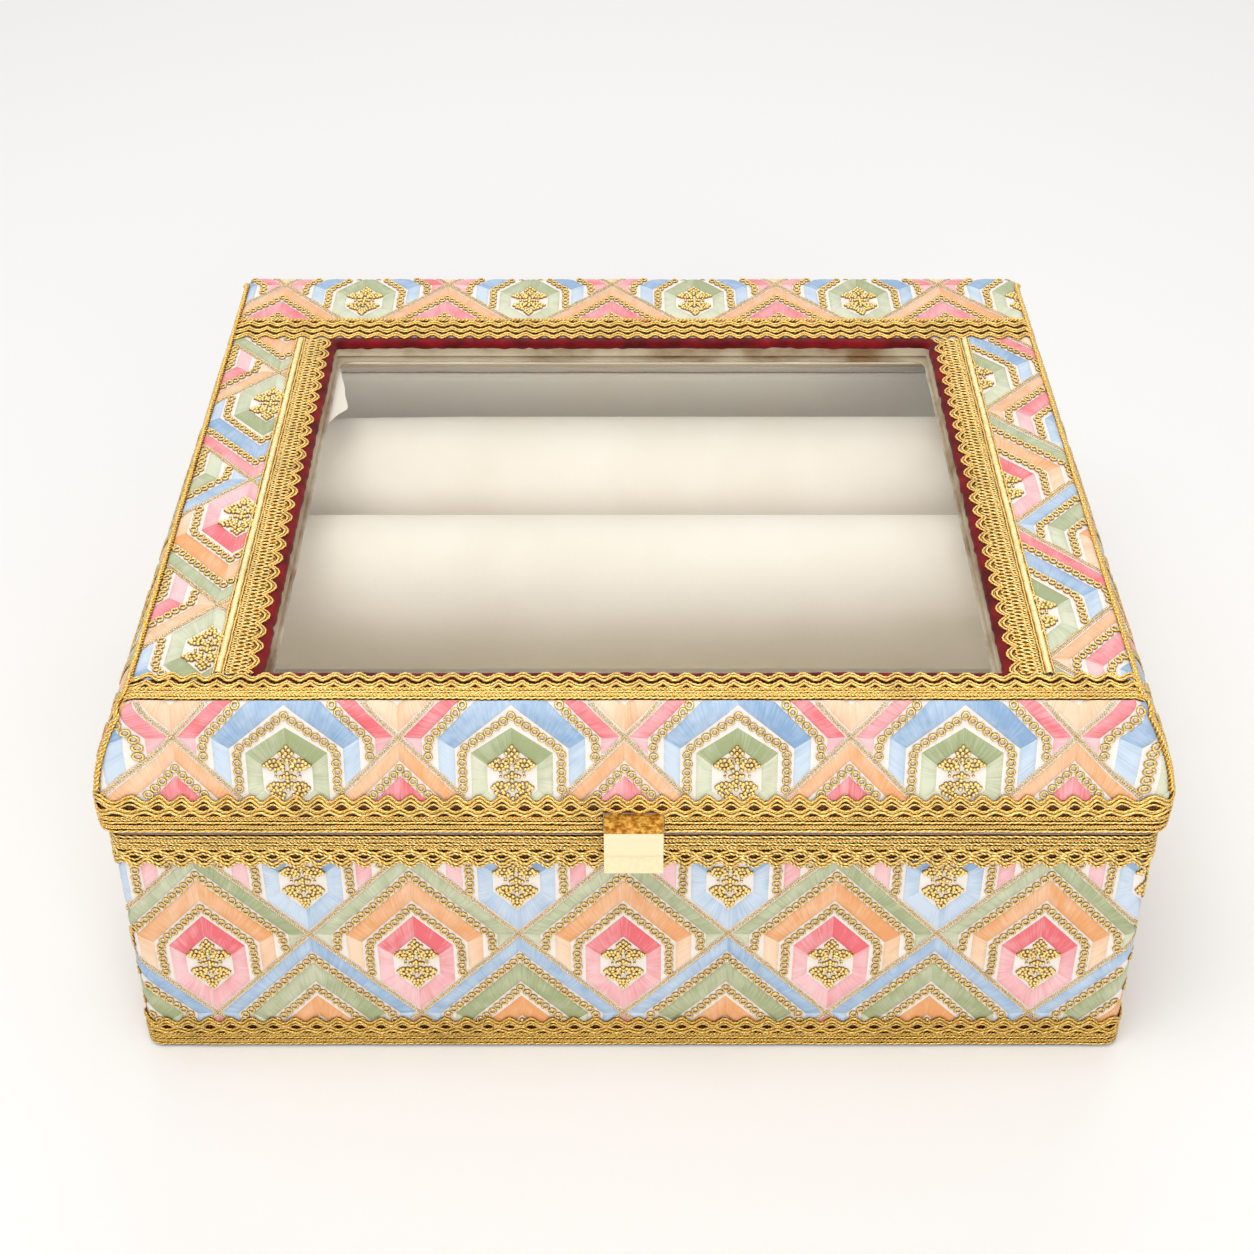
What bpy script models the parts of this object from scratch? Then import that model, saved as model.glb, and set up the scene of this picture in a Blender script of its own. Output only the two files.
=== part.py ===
"""Bangle box: a fabric covered case with a glazed, hinged lid over two padded rolls.

Metres, +Z up, front towards -Y. The origin is the middle of the underside.
"""
import math

import bmesh
import bpy
from mathutils import Matrix, Vector

# Whole box
LID_WIDTH = 0.305
LID_DEPTH = 0.267
BOX_HEIGHT = 0.1306
LID_HEIGHT = 0.0406
LID_LEAN = 0.0092
LID_BACK_LEAN = 0.0029
BASE_STEP = 0.0012
CORNER_RADIUS = 0.004
RIDGE_RADIUS = 0.0025
LEAST_RADIUS = 0.0006

# Layers of a wall, from the outside in, and the gap between pieces that touch
FIT_GAP = 0.0003
COVER_THICKNESS = 0.0012
BOARD_THICKNESS = 0.004
LINING_THICKNESS = 0.0015
RIM_BINDING_THICKNESS = 0.0006
UNDERSIDE_THICKNESS = 0.0006

# Lid top, window and glass
TOP_BOARD_THICKNESS = 0.003
WINDOW_SIDE_MARGIN = 0.0469
WINDOW_FRONT_MARGIN = 0.0249
WINDOW_BACK_MARGIN = 0.053
WINDOW_LINER_THICKNESS = 0.0008
GLASS_THICKNESS = 0.002
GLASS_OVERLAP = 0.0055
TAPE_THICKNESS = 0.0005
TAPE_SHOWING = 0.003
TOP_LINING_THICKNESS = 0.0012
TOP_LINING_SETBACK = 0.001

# Gold lace and cords
LACE_THICKNESS = 0.0011
LID_RIM_LACE_HEIGHT = 0.0124
BASE_TOP_LACE_HEIGHT = 0.012
BASE_FOOT_LACE_HEIGHT = 0.0114
FOOT_LACE_CLEARANCE = 0.0004
WINDOW_LACE_FRONT_WIDTH = 0.0112
WINDOW_LACE_SIDE_WIDTH = 0.013
WINDOW_LACE_BACK_WIDTH = 0.0155
WINDOW_LACE_SETBACK = 0.0008
EDGE_CORD_RADIUS = 0.0009

# Base floor
BOTTOM_BOARD_THICKNESS = 0.004
FLOOR_PAD_THICKNESS = 0.0025

# Padded rolls and the notched boards that carry them
ROLL_RADIUS = 0.026
ROLL_SEAT_DEPTH = 0.007
ROLL_BACK_MARGIN = 0.0563
ROLL_PITCH = 0.0636
DOWEL_RADIUS = 0.008
DOWEL_END_CLEARANCE = 0.0011
END_DISC_THICKNESS = 0.0015
END_DISC_RADIUS = 0.0185
REST_BOARD_THICKNESS = 0.004
REST_BOARD_DROP = 0.008
REST_BOARD_MARGIN = 0.016
ROLL_END_CLEARANCE = 0.0021
ROLL_LENGTH_SHARES = (1.0, 0.998, 0.99, 0.975, 0.95, 0.9, 0.7, 0.35)
ROLL_RADIUS_SHARES = (0.74, 0.83, 0.905, 0.955, 0.982, 0.994, 1.0, 1.004)

# Hinges
HINGE_END_MARGIN = 0.0625
HINGE_WIDTH = 0.024
HINGE_LEAF_THICKNESS = 0.0008
HINGE_LEAF_HEIGHT = 0.0075
HINGE_CRANK_DROP = 0.003
KNUCKLE_RADIUS = 0.0018
HINGE_PIN_RADIUS = 0.00085
HINGE_PIN_CLEARANCE = 0.00007
KNUCKLE_SHARE = 0.34

# Clasp
CLASP_WIDTH = 0.0168
CLASP_THICKNESS = 0.0009
CLASP_REACH = 0.006
CLASP_TOP_ABOVE_SEAM = 0.006
CLASP_CREASE_BELOW_SEAM = 0.0027
CLASP_FOOT_BELOW_SEAM = 0.0078
CLASP_LIP = 0.001
CLASP_LEAF_CLEARANCE = 0.0008
CATCH_PLATE_WIDTH = 0.014
CATCH_PLATE_HEIGHT = 0.006
CATCH_PLATE_THICKNESS = 0.0008
CATCH_DROP = 0.0045
CATCH_STUD_RADIUS = 0.0022

# Nails that hold the metal parts on
NAIL_SHANK_RADIUS = 0.0006
NAIL_HEAD_RADIUS = 0.0014
NAIL_HEAD_HEIGHT = 0.0007
NAIL_BITE = 0.0025
NAIL_SPREAD_SHARE = 0.6

# Facets of round shapes, and how far a cutter runs past what it cuts
CORNER_STEPS = 3
RIDGE_STEPS = 4
ROLL_STEPS = 40
DOWEL_STEPS = 32
KNUCKLE_STEPS = 24
NAIL_STEPS = 12
NOTCH_STEPS = 12
OVERRUN = 0.002
MERGE_DISTANCE = 0.00001

# Heights that follow
SEAM_HEIGHT = BOX_HEIGHT - LID_HEIGHT
LACE_PROUD = LACE_THICKNESS + FIT_GAP
LID_RIM_Z = SEAM_HEIGHT + FIT_GAP / 2
BASE_RIM_Z = SEAM_HEIGHT - FIT_GAP / 2
COVER_TOP_Z = BOX_HEIGHT - LACE_PROUD
BOARD_OFFSET = COVER_THICKNESS + FIT_GAP
LINING_OFFSET = BOARD_OFFSET + BOARD_THICKNESS + FIT_GAP
INSIDE_OFFSET = LINING_OFFSET + LINING_THICKNESS
TOP_BOARD_TOP_Z = COVER_TOP_Z - BOARD_OFFSET
TOP_BOARD_Z = TOP_BOARD_TOP_Z - TOP_BOARD_THICKNESS
WALL_TOP_Z = TOP_BOARD_Z - FIT_GAP
GLASS_TOP_Z = WALL_TOP_Z
GLASS_Z = GLASS_TOP_Z - GLASS_THICKNESS
TAPE_TOP_Z = GLASS_Z - FIT_GAP
TAPE_Z = TAPE_TOP_Z - TAPE_THICKNESS
TOP_LINING_TOP_Z = TAPE_Z - FIT_GAP
TOP_LINING_Z = TOP_LINING_TOP_Z - TOP_LINING_THICKNESS
FOOT_Z = UNDERSIDE_THICKNESS + FIT_GAP
BINDING_Z = BASE_RIM_Z - RIM_BINDING_THICKNESS
BASE_WALL_TOP_Z = BINDING_Z - FIT_GAP
FLOOR_PAD_Z = FOOT_Z + BOTTOM_BOARD_THICKNESS + FIT_GAP
FLOOR_Z = FLOOR_PAD_Z + FLOOR_PAD_THICKNESS
REST_BOARD_TOP_Z = SEAM_HEIGHT - REST_BOARD_DROP
ROLL_AXIS_Z = REST_BOARD_TOP_Z - ROLL_SEAT_DEPTH

# Half sizes of the covers, and the window's edges
LID_HALF_X = LID_WIDTH / 2 - LACE_PROUD
LID_HALF_Y = LID_DEPTH / 2 - LACE_PROUD
BASE_HALF_X = LID_HALF_X - BASE_STEP
BASE_HALF_Y = LID_HALF_Y - BASE_STEP
WINDOW_HALF_X = LID_WIDTH / 2 - WINDOW_SIDE_MARGIN
WINDOW_FRONT_Y = WINDOW_FRONT_MARGIN - LID_DEPTH / 2
WINDOW_BACK_Y = LID_DEPTH / 2 - WINDOW_BACK_MARGIN

# Places of the moving parts
HINGE_Y = LID_HALF_Y + FIT_GAP + KNUCKLE_RADIUS
HINGE_X = LID_WIDTH / 2 - HINGE_END_MARGIN
ROLL_BACK_Y = BASE_HALF_Y - INSIDE_OFFSET - ROLL_BACK_MARGIN
ROLL_FRONT_Y = ROLL_BACK_Y - ROLL_PITCH
REST_BOARD_X = BASE_HALF_X - INSIDE_OFFSET - FIT_GAP - REST_BOARD_THICKNESS
DISC_END_X = REST_BOARD_X - ROLL_END_CLEARANCE
ROLL_HALF_LENGTH = DISC_END_X - END_DISC_THICKNESS - FIT_GAP
DOWEL_HALF_LENGTH = BASE_HALF_X - INSIDE_OFFSET - DOWEL_END_CLEARANCE
CLASP_FACE_Y = -(LID_DEPTH / 2 + CLASP_REACH)

SIDES = ("front", "right", "back", "left")

FINISHES = {
    "embroidered_cloth": ((0.83, 0.72, 0.62), 0.7, 0.0),
    "gold_lace": ((0.62, 0.43, 0.12), 0.38, 0.8),
    "cream_velvet": ((0.86, 0.81, 0.72), 0.9, 0.0),
    "red_velvet": ((0.30, 0.02, 0.04), 0.9, 0.0),
    "grey_board": ((0.45, 0.42, 0.37), 0.9, 0.0),
    "clear_glass": ((0.9, 0.94, 0.93), 0.05, 0.0),
    "glazing_tape": ((0.72, 0.64, 0.5), 0.6, 0.0),
    "pale_brass": ((0.9, 0.76, 0.42), 0.2, 1.0),
    "beech_dowel": ((0.62, 0.45, 0.28), 0.6, 0.0),
    "black_paper": ((0.05, 0.05, 0.055), 0.9, 0.0),
}


def clear_scene():
    """Remove what the scene holds."""
    for old in list(bpy.data.objects):
        bpy.data.objects.remove(old)


def make_collection(name):
    """Return a new collection linked to the scene."""
    group = bpy.data.collections.new(name)
    bpy.context.scene.collection.children.link(group)
    return group


def finish(name):
    """Return the material of that name, made on first use."""
    if name in bpy.data.materials:
        return bpy.data.materials[name]
    colour, roughness, metallic = FINISHES[name]
    material = bpy.data.materials.new(name)
    material.use_nodes = True
    shader = material.node_tree.nodes["Principled BSDF"]
    shader.inputs["Base Color"].default_value = (*colour, 1.0)
    shader.inputs["Roughness"].default_value = roughness
    shader.inputs["Metallic"].default_value = metallic
    return material


def link_object(name, mesh, finish_name=None, carrier=None):
    """Put a mesh in the scene as a part, or as a cutter if it has no finish."""
    piece = bpy.data.objects.new(name, mesh)
    if finish_name is None:
        CUTTERS.objects.link(piece)
        piece.hide_render = True
        piece.display_type = "WIRE"
        return piece
    PARTS.objects.link(piece)
    mesh.materials.clear()
    mesh.materials.append(finish(finish_name))
    if carrier is not None:
        piece.parent = carrier
        piece.matrix_parent_inverse = carrier.matrix_basis.inverted()
    return piece


def mesh_from(name, form):
    """Turn a bmesh into a mesh with its faces pointing out."""
    bmesh.ops.recalc_face_normals(form, faces=form.faces[:])
    mesh = bpy.data.meshes.new(name)
    form.to_mesh(mesh)
    form.free()
    return mesh


def cut(piece, cutter, operation="DIFFERENCE"):
    """Add a Boolean to a piece."""
    step = piece.modifiers.new("cut", "BOOLEAN")
    step.object = cutter
    step.operation = operation
    step.solver = "EXACT"


def side_path(half_x, half_y, radius, side, trim):
    """Points of one side of a rounded rectangle, between the middles of its two corners."""
    turn = SIDES.index(side)
    lean = -math.pi / 2 + turn * math.pi / 2
    signs = ((-1, -1), (1, -1), (1, 1), (-1, 1))
    start = signs[turn]
    end = signs[(turn + 1) % len(signs)]
    points = []
    for corner, first, last in ((start, -math.pi / 4 + trim, 0.0), (end, 0.0, math.pi / 4 - trim)):
        centre_x = corner[0] * (half_x - radius)
        centre_y = corner[1] * (half_y - radius)
        for step in range(CORNER_STEPS + 1):
            angle = lean + first + (last - first) * step / CORNER_STEPS
            points.append((centre_x + radius * math.cos(angle), centre_y + radius * math.sin(angle)))
    return points


def loft(name, stations, finish_name=None, carrier=None, ring=False, side=None):
    """Loft rounded rectangles (height, half x, half y, corner radius, middle y) into one closed solid.

    A ring closes the last station on the first. A side keeps one wall of the ring, mitred
    in the middle of its corners with half a fit gap at each end.
    """
    form = bmesh.new()
    rows = []
    for height, half_x, half_y, radius, middle_y in stations:
        if side is None:
            path = []
            for each in SIDES:
                path += side_path(half_x, half_y, radius, each, 0.0)[:-1]
        else:
            path = side_path(half_x, half_y, radius, side, FIT_GAP / 2 / radius)
        rows.append([form.verts.new((x, y + middle_y, height)) for x, y in path])
    count = len(rows[0])
    row_pairs = list(zip(rows, rows[1:]))
    if ring:
        row_pairs.append((rows[-1], rows[0]))
    else:
        form.faces.new(rows[0])
        form.faces.new(rows[-1])
    steps = count if side is None else count - 1
    for low, high in row_pairs:
        for i in range(steps):
            j = (i + 1) % count
            form.faces.new((low[i], low[j], high[j], high[i]))
    if side is not None:
        form.faces.new([row[0] for row in rows])
        form.faces.new([row[-1] for row in rows])
    return link_object(name, mesh_from(name, form), finish_name, carrier)


def box(name, low, high, finish_name=None, carrier=None):
    """A box between two corners."""
    form = bmesh.new()
    bmesh.ops.create_cube(form, size=1.0)
    size = Vector(high) - Vector(low)
    middle = (Vector(high) + Vector(low)) / 2
    bmesh.ops.scale(form, vec=size, verts=form.verts[:])
    bmesh.ops.translate(form, vec=middle, verts=form.verts[:])
    return link_object(name, mesh_from(name, form), finish_name, carrier)


def evaluated_mesh(piece):
    """The mesh of an object with its modifiers, in its own space."""
    bpy.context.view_layer.update()
    graph = bpy.context.evaluated_depsgraph_get()
    return bpy.data.meshes.new_from_object(piece.evaluated_get(graph))


def outline_solid(name, points, low_x, high_x, finish_name=None, carrier=None):
    """A flat outline of (y, z) points, made thick along X."""
    curve = bpy.data.curves.new(name, "CURVE")
    curve.dimensions = "2D"
    curve.fill_mode = "BOTH"
    curve.extrude = (high_x - low_x) / 2
    spline = curve.splines.new("POLY")
    spline.points.add(len(points) - 1)
    for point, (y, z) in zip(spline.points, points):
        point.co = (y, z, 0.0, 1.0)
    spline.use_cyclic_u = True
    drawn = bpy.data.objects.new(name + "_outline", curve)
    CUTTERS.objects.link(drawn)
    form = bmesh.new()
    form.from_mesh(evaluated_mesh(drawn))
    bpy.data.objects.remove(drawn)
    bmesh.ops.remove_doubles(form, verts=form.verts[:], dist=MERGE_DISTANCE)
    turned = Matrix(((0, 0, 1, (low_x + high_x) / 2), (1, 0, 0, 0), (0, 1, 0, 0), (0, 0, 0, 1)))
    bmesh.ops.transform(form, matrix=turned, verts=form.verts[:])
    return link_object(name, mesh_from(name, form), finish_name, carrier)


def strip_points(route, thickness):
    """The outline of a bent strip whose middle line is a route of (y, z) points."""
    left = []
    right = []
    for i, point in enumerate(route):
        here = Vector(point)
        before = (here - Vector(route[i - 1])).normalized() if i > 0 else None
        after = (Vector(route[i + 1]) - here).normalized() if i < len(route) - 1 else None
        before = before if before is not None else after
        after = after if after is not None else before
        mean = (before + after).normalized()
        normal = Vector((-mean.y, mean.x))
        reach = thickness / 2 / normal.dot(Vector((-before.y, before.x)))
        left.append(tuple(here + normal * reach))
        right.append(tuple(here - normal * reach))
    return left + right[::-1]


def rod(name, radius, low_x, high_x, y, z, steps, finish_name=None, carrier=None):
    """A cylinder along X."""
    form = bmesh.new()
    turned = Matrix.Translation(((low_x + high_x) / 2, y, z)) @ Matrix.Rotation(math.pi / 2, 4, "Y")
    bmesh.ops.create_cone(form, cap_ends=True, segments=steps, radius1=radius, radius2=radius,
                          depth=high_x - low_x, matrix=turned)
    return link_object(name, mesh_from(name, form), finish_name, carrier)


def front_rod(low_y, high_y, radius, z):
    """The bmesh of a cylinder along Y in the middle of the front."""
    form = bmesh.new()
    turned = Matrix.Translation((0.0, (low_y + high_y) / 2, z)) @ Matrix.Rotation(math.pi / 2, 4, "X")
    bmesh.ops.create_cone(form, cap_ends=True, segments=NAIL_STEPS, radius1=radius, radius2=radius,
                          depth=high_y - low_y, matrix=turned)
    return form


def turned_along_x(name, profile, y, z, steps, finish_name, carrier):
    """A closed profile of (x, radius) points turned about a line along X."""
    mesh = bpy.data.meshes.new(name)
    points = [(radius, 0.0, along) for along, radius in profile]
    count = len(points)
    mesh.from_pydata(points, [(i, (i + 1) % count) for i in range(count)], [])
    piece = link_object(name, mesh, finish_name)
    piece.rotation_euler = (0.0, math.pi / 2, 0.0)
    piece.location = (0.0, y, z)
    piece.parent = carrier
    piece.matrix_parent_inverse = carrier.matrix_basis.inverted()
    screw = piece.modifiers.new("turn", "SCREW")
    screw.steps = steps
    screw.render_steps = steps
    screw.use_merge_vertices = True
    screw.merge_threshold = MERGE_DISTANCE
    return piece


def lid_inset(height, lean=LID_LEAN):
    """How far the lid's cover has leant in at a height."""
    return lean * (height - SEAM_HEIGHT) / (COVER_TOP_Z - SEAM_HEIGHT)


def lid_station(height, offset, ridge_inset=0.0):
    """A rounded rectangle of the lid, at an offset inside its cover. Its back leans less."""
    drawn = offset + ridge_inset
    inset = lid_inset(height) + drawn
    back_inset = lid_inset(height, LID_BACK_LEAN) + drawn
    radius = max(CORNER_RADIUS - drawn, LEAST_RADIUS)
    middle_y = (inset - back_inset) / 2
    return (height, LID_HALF_X - inset, LID_HALF_Y - (inset + back_inset) / 2, radius, middle_y)


def base_station(height, offset):
    """A rounded rectangle of the base, at an offset inside its cover."""
    radius = max(CORNER_RADIUS - offset, LEAST_RADIUS)
    return (height, BASE_HALF_X - offset, BASE_HALF_Y - offset, radius, 0.0)


def lid_crown(offset, low_z):
    """Stations of the lid's outside from a height up over its rounded ridge."""
    radius = RIDGE_RADIUS - offset
    top = COVER_TOP_Z - offset
    stations = []
    if top - radius - low_z > MERGE_DISTANCE:
        stations.append(lid_station(low_z, offset))
    for step in range(RIDGE_STEPS + 1):
        angle = math.pi / 2 * step / RIDGE_STEPS
        height = top - radius + radius * math.sin(angle)
        stations.append(lid_station(height, offset, radius * (1 - math.cos(angle))))
    return stations


def wall_ring(station, low_z, high_z, outer, inner):
    """Stations of a ring between two offsets and two heights."""
    return [station(low_z, outer), station(high_z, outer), station(high_z, inner), station(low_z, inner)]


def window_cutter(name, widen, low_z, high_z):
    """A box through the window, wider than it on every side."""
    low = (-WINDOW_HALF_X - widen, WINDOW_FRONT_Y - widen, low_z)
    high = (WINDOW_HALF_X + widen, WINDOW_BACK_Y + widen, high_z)
    return box(name, low, high)


def window_frame(name, outer, inner, low_z, high_z, finish_name, carrier):
    """A flat or upright frame round the window, between two offsets out of its edge."""
    piece = window_cutter(name + "_blank", outer, low_z, high_z)
    opening = window_cutter(name + "_opening", inner, low_z - OVERRUN, high_z + OVERRUN)
    frame = link_object(name, piece.data, finish_name, carrier)
    bpy.data.objects.remove(piece)
    cut(frame, opening)
    return frame


def nails(names, places, direction, reach, carrier, holes):
    """Nails with their heads at the given places and their shanks running on inwards.

    The same places give the holes, wider by the fit gap, which are cut from the listed pieces.
    """
    inward = Vector(direction).normalized()
    turned = inward.to_track_quat("Z", "Y").to_matrix().to_4x4()
    drills = bmesh.new()
    for name, place in zip(names, places):
        at = Matrix.Translation(Vector(place)) @ turned
        profile = bmesh.new()
        shoulder = NAIL_HEAD_RADIUS * math.cos(math.pi / 4)
        outline = ((0.0, -NAIL_HEAD_HEIGHT), (shoulder, -NAIL_HEAD_HEIGHT / 2), (NAIL_HEAD_RADIUS, 0.0),
                   (NAIL_SHANK_RADIUS, 0.0), (NAIL_SHANK_RADIUS, reach), (0.0, reach))
        verts = [profile.verts.new((radius, 0.0, along)) for radius, along in outline]
        edges = [profile.edges.new(pair) for pair in zip(verts, verts[1:])]
        bmesh.ops.spin(profile, geom=verts + edges, axis=(0, 0, 1), cent=(0, 0, 0),
                       angle=2 * math.pi, steps=NAIL_STEPS)
        bmesh.ops.remove_doubles(profile, verts=profile.verts[:], dist=MERGE_DISTANCE)
        bmesh.ops.transform(profile, matrix=at, verts=profile.verts[:])
        link_object(name, mesh_from(name, profile), "pale_brass", carrier)
        depth = reach + OVERRUN + FIT_GAP
        drill = at @ Matrix.Translation((0, 0, depth / 2 - OVERRUN))
        bmesh.ops.create_cone(drills, cap_ends=True, segments=NAIL_STEPS, depth=depth, matrix=drill,
                              radius1=NAIL_SHANK_RADIUS + FIT_GAP, radius2=NAIL_SHANK_RADIUS + FIT_GAP)
    cutter = link_object(names[0] + "_holes", mesh_from(names[0] + "_holes", drills))
    for piece in holes:
        cut(piece, cutter)


def make_base():
    """Boards, cover, laces and linings of the base."""
    pieces = {}
    sheet = [base_station(0.0, 0.0), base_station(UNDERSIDE_THICKNESS, 0.0)]
    loft("underside_sheet", sheet, "black_paper")
    inner = BOARD_OFFSET + BOARD_THICKNESS
    board_top = FOOT_Z + BOTTOM_BOARD_THICKNESS
    floor = [base_station(FOOT_Z, LINING_OFFSET), base_station(board_top, LINING_OFFSET)]
    loft("bottom_board", floor, "grey_board")
    walls = wall_ring(base_station, FOOT_Z, BASE_WALL_TOP_Z, BOARD_OFFSET, inner)
    for side in SIDES:
        pieces["board_" + side] = loft("base_board_" + side, walls, "grey_board", ring=True, side=side)
    lining = wall_ring(base_station, FLOOR_PAD_Z, BASE_WALL_TOP_Z, LINING_OFFSET, INSIDE_OFFSET)
    loft("base_wall_lining", lining, "cream_velvet", ring=True)
    pad_offset = INSIDE_OFFSET + FIT_GAP
    pad = [base_station(FLOOR_PAD_Z, pad_offset), base_station(FLOOR_Z, pad_offset)]
    loft("floor_pad", pad, "cream_velvet")
    cover = wall_ring(base_station, FOOT_Z, BASE_WALL_TOP_Z, 0.0, COVER_THICKNESS)
    pieces["cover"] = loft("base_cover", cover, "embroidered_cloth", ring=True)
    binding = wall_ring(base_station, BINDING_Z, BASE_RIM_Z, 0.0, INSIDE_OFFSET)
    loft("base_rim_binding", binding, "red_velvet", ring=True)
    lace_top = BASE_WALL_TOP_Z - FIT_GAP
    upper = wall_ring(base_station, lace_top - BASE_TOP_LACE_HEIGHT, lace_top, -LACE_PROUD, -FIT_GAP)
    pieces["top_lace"] = loft("base_top_lace", upper, "gold_lace", ring=True)
    lace_foot = FOOT_Z + FOOT_LACE_CLEARANCE
    lower = wall_ring(base_station, lace_foot, lace_foot + BASE_FOOT_LACE_HEIGHT, -LACE_PROUD, -FIT_GAP)
    loft("base_foot_lace", lower, "gold_lace", ring=True)
    return pieces


def make_rest_boards():
    """The two notched boards that the rolls' dowels lie in."""
    floor = FLOOR_Z + FIT_GAP
    front = ROLL_FRONT_Y - DOWEL_RADIUS - REST_BOARD_MARGIN
    back = ROLL_BACK_Y + DOWEL_RADIUS + REST_BOARD_MARGIN
    radius = DOWEL_RADIUS + FIT_GAP
    outline = [(back, floor), (back, REST_BOARD_TOP_Z)]
    for centre in (ROLL_BACK_Y, ROLL_FRONT_Y):
        outline.append((centre + radius, REST_BOARD_TOP_Z))
        for step in range(NOTCH_STEPS + 1):
            angle = -math.pi * step / NOTCH_STEPS
            outline.append((centre + radius * math.cos(angle), ROLL_AXIS_Z + radius * math.sin(angle)))
        outline.append((centre - radius, REST_BOARD_TOP_Z))
    outline += [(front, REST_BOARD_TOP_Z), (front, floor)]
    for side, sign in (("left", -1), ("right", 1)):
        ends = sorted((sign * REST_BOARD_X, sign * (REST_BOARD_X + REST_BOARD_THICKNESS)))
        outline_solid("roll_rest_" + side, outline, ends[0], ends[1], "cream_velvet")


def make_roll(name, y):
    """A padded roll on its dowel, drawn in at both ends, with a disc over each end."""
    seat = bpy.data.objects.new(name + "_seat", None)
    seat.location = (0.0, y, ROLL_AXIS_Z)
    PARTS.objects.link(seat)
    bore = DOWEL_RADIUS + FIT_GAP
    half = list(zip(ROLL_LENGTH_SHARES, ROLL_RADIUS_SHARES))
    crown = [(ROLL_HALF_LENGTH * along, ROLL_RADIUS * out) for along, out in half]
    crown += [(-along, radius) for along, radius in reversed(crown)]
    profile = crown + [(-ROLL_HALF_LENGTH, bore), (ROLL_HALF_LENGTH, bore)]
    turned_along_x(name + "_pad", profile, y, ROLL_AXIS_Z, ROLL_STEPS, "cream_velvet", seat)
    rod(name + "_dowel", DOWEL_RADIUS, -DOWEL_HALF_LENGTH, DOWEL_HALF_LENGTH, y, ROLL_AXIS_Z,
        DOWEL_STEPS, "beech_dowel", seat)
    for side, sign in (("left", -1), ("right", 1)):
        ends = sorted((sign * (ROLL_HALF_LENGTH + FIT_GAP), sign * DISC_END_X))
        disc = [(ends[1], END_DISC_RADIUS), (ends[0], END_DISC_RADIUS), (ends[0], bore), (ends[1], bore)]
        turned_along_x(name + "_end_disc_" + side, disc, y, ROLL_AXIS_Z, DOWEL_STEPS, "cream_velvet", seat)


def make_lid(pivot):
    """Boards, cover, glass, linings and laces of the lid."""
    pieces = {}
    inner = BOARD_OFFSET + BOARD_THICKNESS
    walls = wall_ring(lid_station, LID_RIM_Z, WALL_TOP_Z, BOARD_OFFSET, inner)
    for side in SIDES:
        pieces["board_" + side] = loft("lid_board_" + side, walls, "grey_board", pivot, ring=True, side=side)
    top = loft("lid_top_board", lid_crown(BOARD_OFFSET, TOP_BOARD_Z), "grey_board", pivot)
    cut(top, window_cutter("top_board_window", 0.0, TOP_BOARD_Z - OVERRUN, BOX_HEIGHT))
    cover = loft("lid_cover", lid_crown(0.0, LID_RIM_Z), "embroidered_cloth", pivot)
    core_stations = lid_crown(COVER_THICKNESS, LID_RIM_Z - OVERRUN)
    core = loft("lid_cover_core", core_stations)
    cut(cover, core)
    cut(cover, window_cutter("lid_cover_window", 0.0, TOP_BOARD_Z, BOX_HEIGHT))
    pieces["cover"] = cover
    liner_inner = -FIT_GAP - WINDOW_LINER_THICKNESS
    window_frame("window_liner", -FIT_GAP, liner_inner, TOP_BOARD_Z, COVER_TOP_Z, "red_velvet", pivot)
    glass_low = (-WINDOW_HALF_X - GLASS_OVERLAP, WINDOW_FRONT_Y - GLASS_OVERLAP, GLASS_Z)
    glass_high = (WINDOW_HALF_X + GLASS_OVERLAP, WINDOW_BACK_Y + GLASS_OVERLAP, GLASS_TOP_Z)
    box("glass_pane", glass_low, glass_high, "clear_glass", pivot)
    window_frame("glazing_tape", GLASS_OVERLAP, -TAPE_SHOWING, TAPE_Z, TAPE_TOP_Z, "glazing_tape", pivot)
    hem = lid_station(TOP_LINING_TOP_Z, INSIDE_OFFSET + FIT_GAP)
    hem_low = lid_station(TOP_LINING_Z, INSIDE_OFFSET + FIT_GAP)
    top_lining = loft("lid_top_lining", [hem_low, hem], "cream_velvet", pivot)
    setback = TOP_LINING_SETBACK - TAPE_SHOWING
    cut(top_lining, window_cutter("top_lining_window", setback, TOP_LINING_Z - OVERRUN, GLASS_Z))
    lining = wall_ring(lid_station, LID_RIM_Z, WALL_TOP_Z - FIT_GAP, LINING_OFFSET, INSIDE_OFFSET)
    loft("lid_wall_lining", lining, "cream_velvet", pivot, ring=True)
    rim_low = LID_RIM_Z + FIT_GAP
    rim = wall_ring(lid_station, rim_low, rim_low + LID_RIM_LACE_HEIGHT, -LACE_PROUD, -FIT_GAP)
    pieces["rim_lace"] = loft("lid_rim_lace", rim, "gold_lace", pivot, ring=True)
    return pieces


def make_window_laces(pivot):
    """Four flat lengths of lace on the lid's top, round the window."""
    low_z = COVER_TOP_Z + FIT_GAP
    flat_x = LID_HALF_X - lid_inset(COVER_TOP_Z) - RIDGE_RADIUS
    front_edge = WINDOW_FRONT_Y - WINDOW_LACE_SETBACK
    back_edge = WINDOW_BACK_Y + WINDOW_LACE_SETBACK
    front_low = front_edge - WINDOW_LACE_FRONT_WIDTH
    back_high = back_edge + WINDOW_LACE_BACK_WIDTH
    for side, near, far in (("front", front_low, front_edge), ("back", back_edge, back_high)):
        box("window_lace_" + side, (-flat_x, near, low_z), (flat_x, far, BOX_HEIGHT), "gold_lace", pivot)
    inner_x = WINDOW_HALF_X + WINDOW_LACE_SETBACK
    for side, sign in (("left", -1), ("right", 1)):
        ends = sorted((sign * inner_x, sign * (inner_x + WINDOW_LACE_SIDE_WIDTH)))
        low = (ends[0], front_edge + FIT_GAP, low_z)
        high = (ends[1], back_edge - FIT_GAP, BOX_HEIGHT)
        box("window_lace_" + side, low, high, "gold_lace", pivot)


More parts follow.
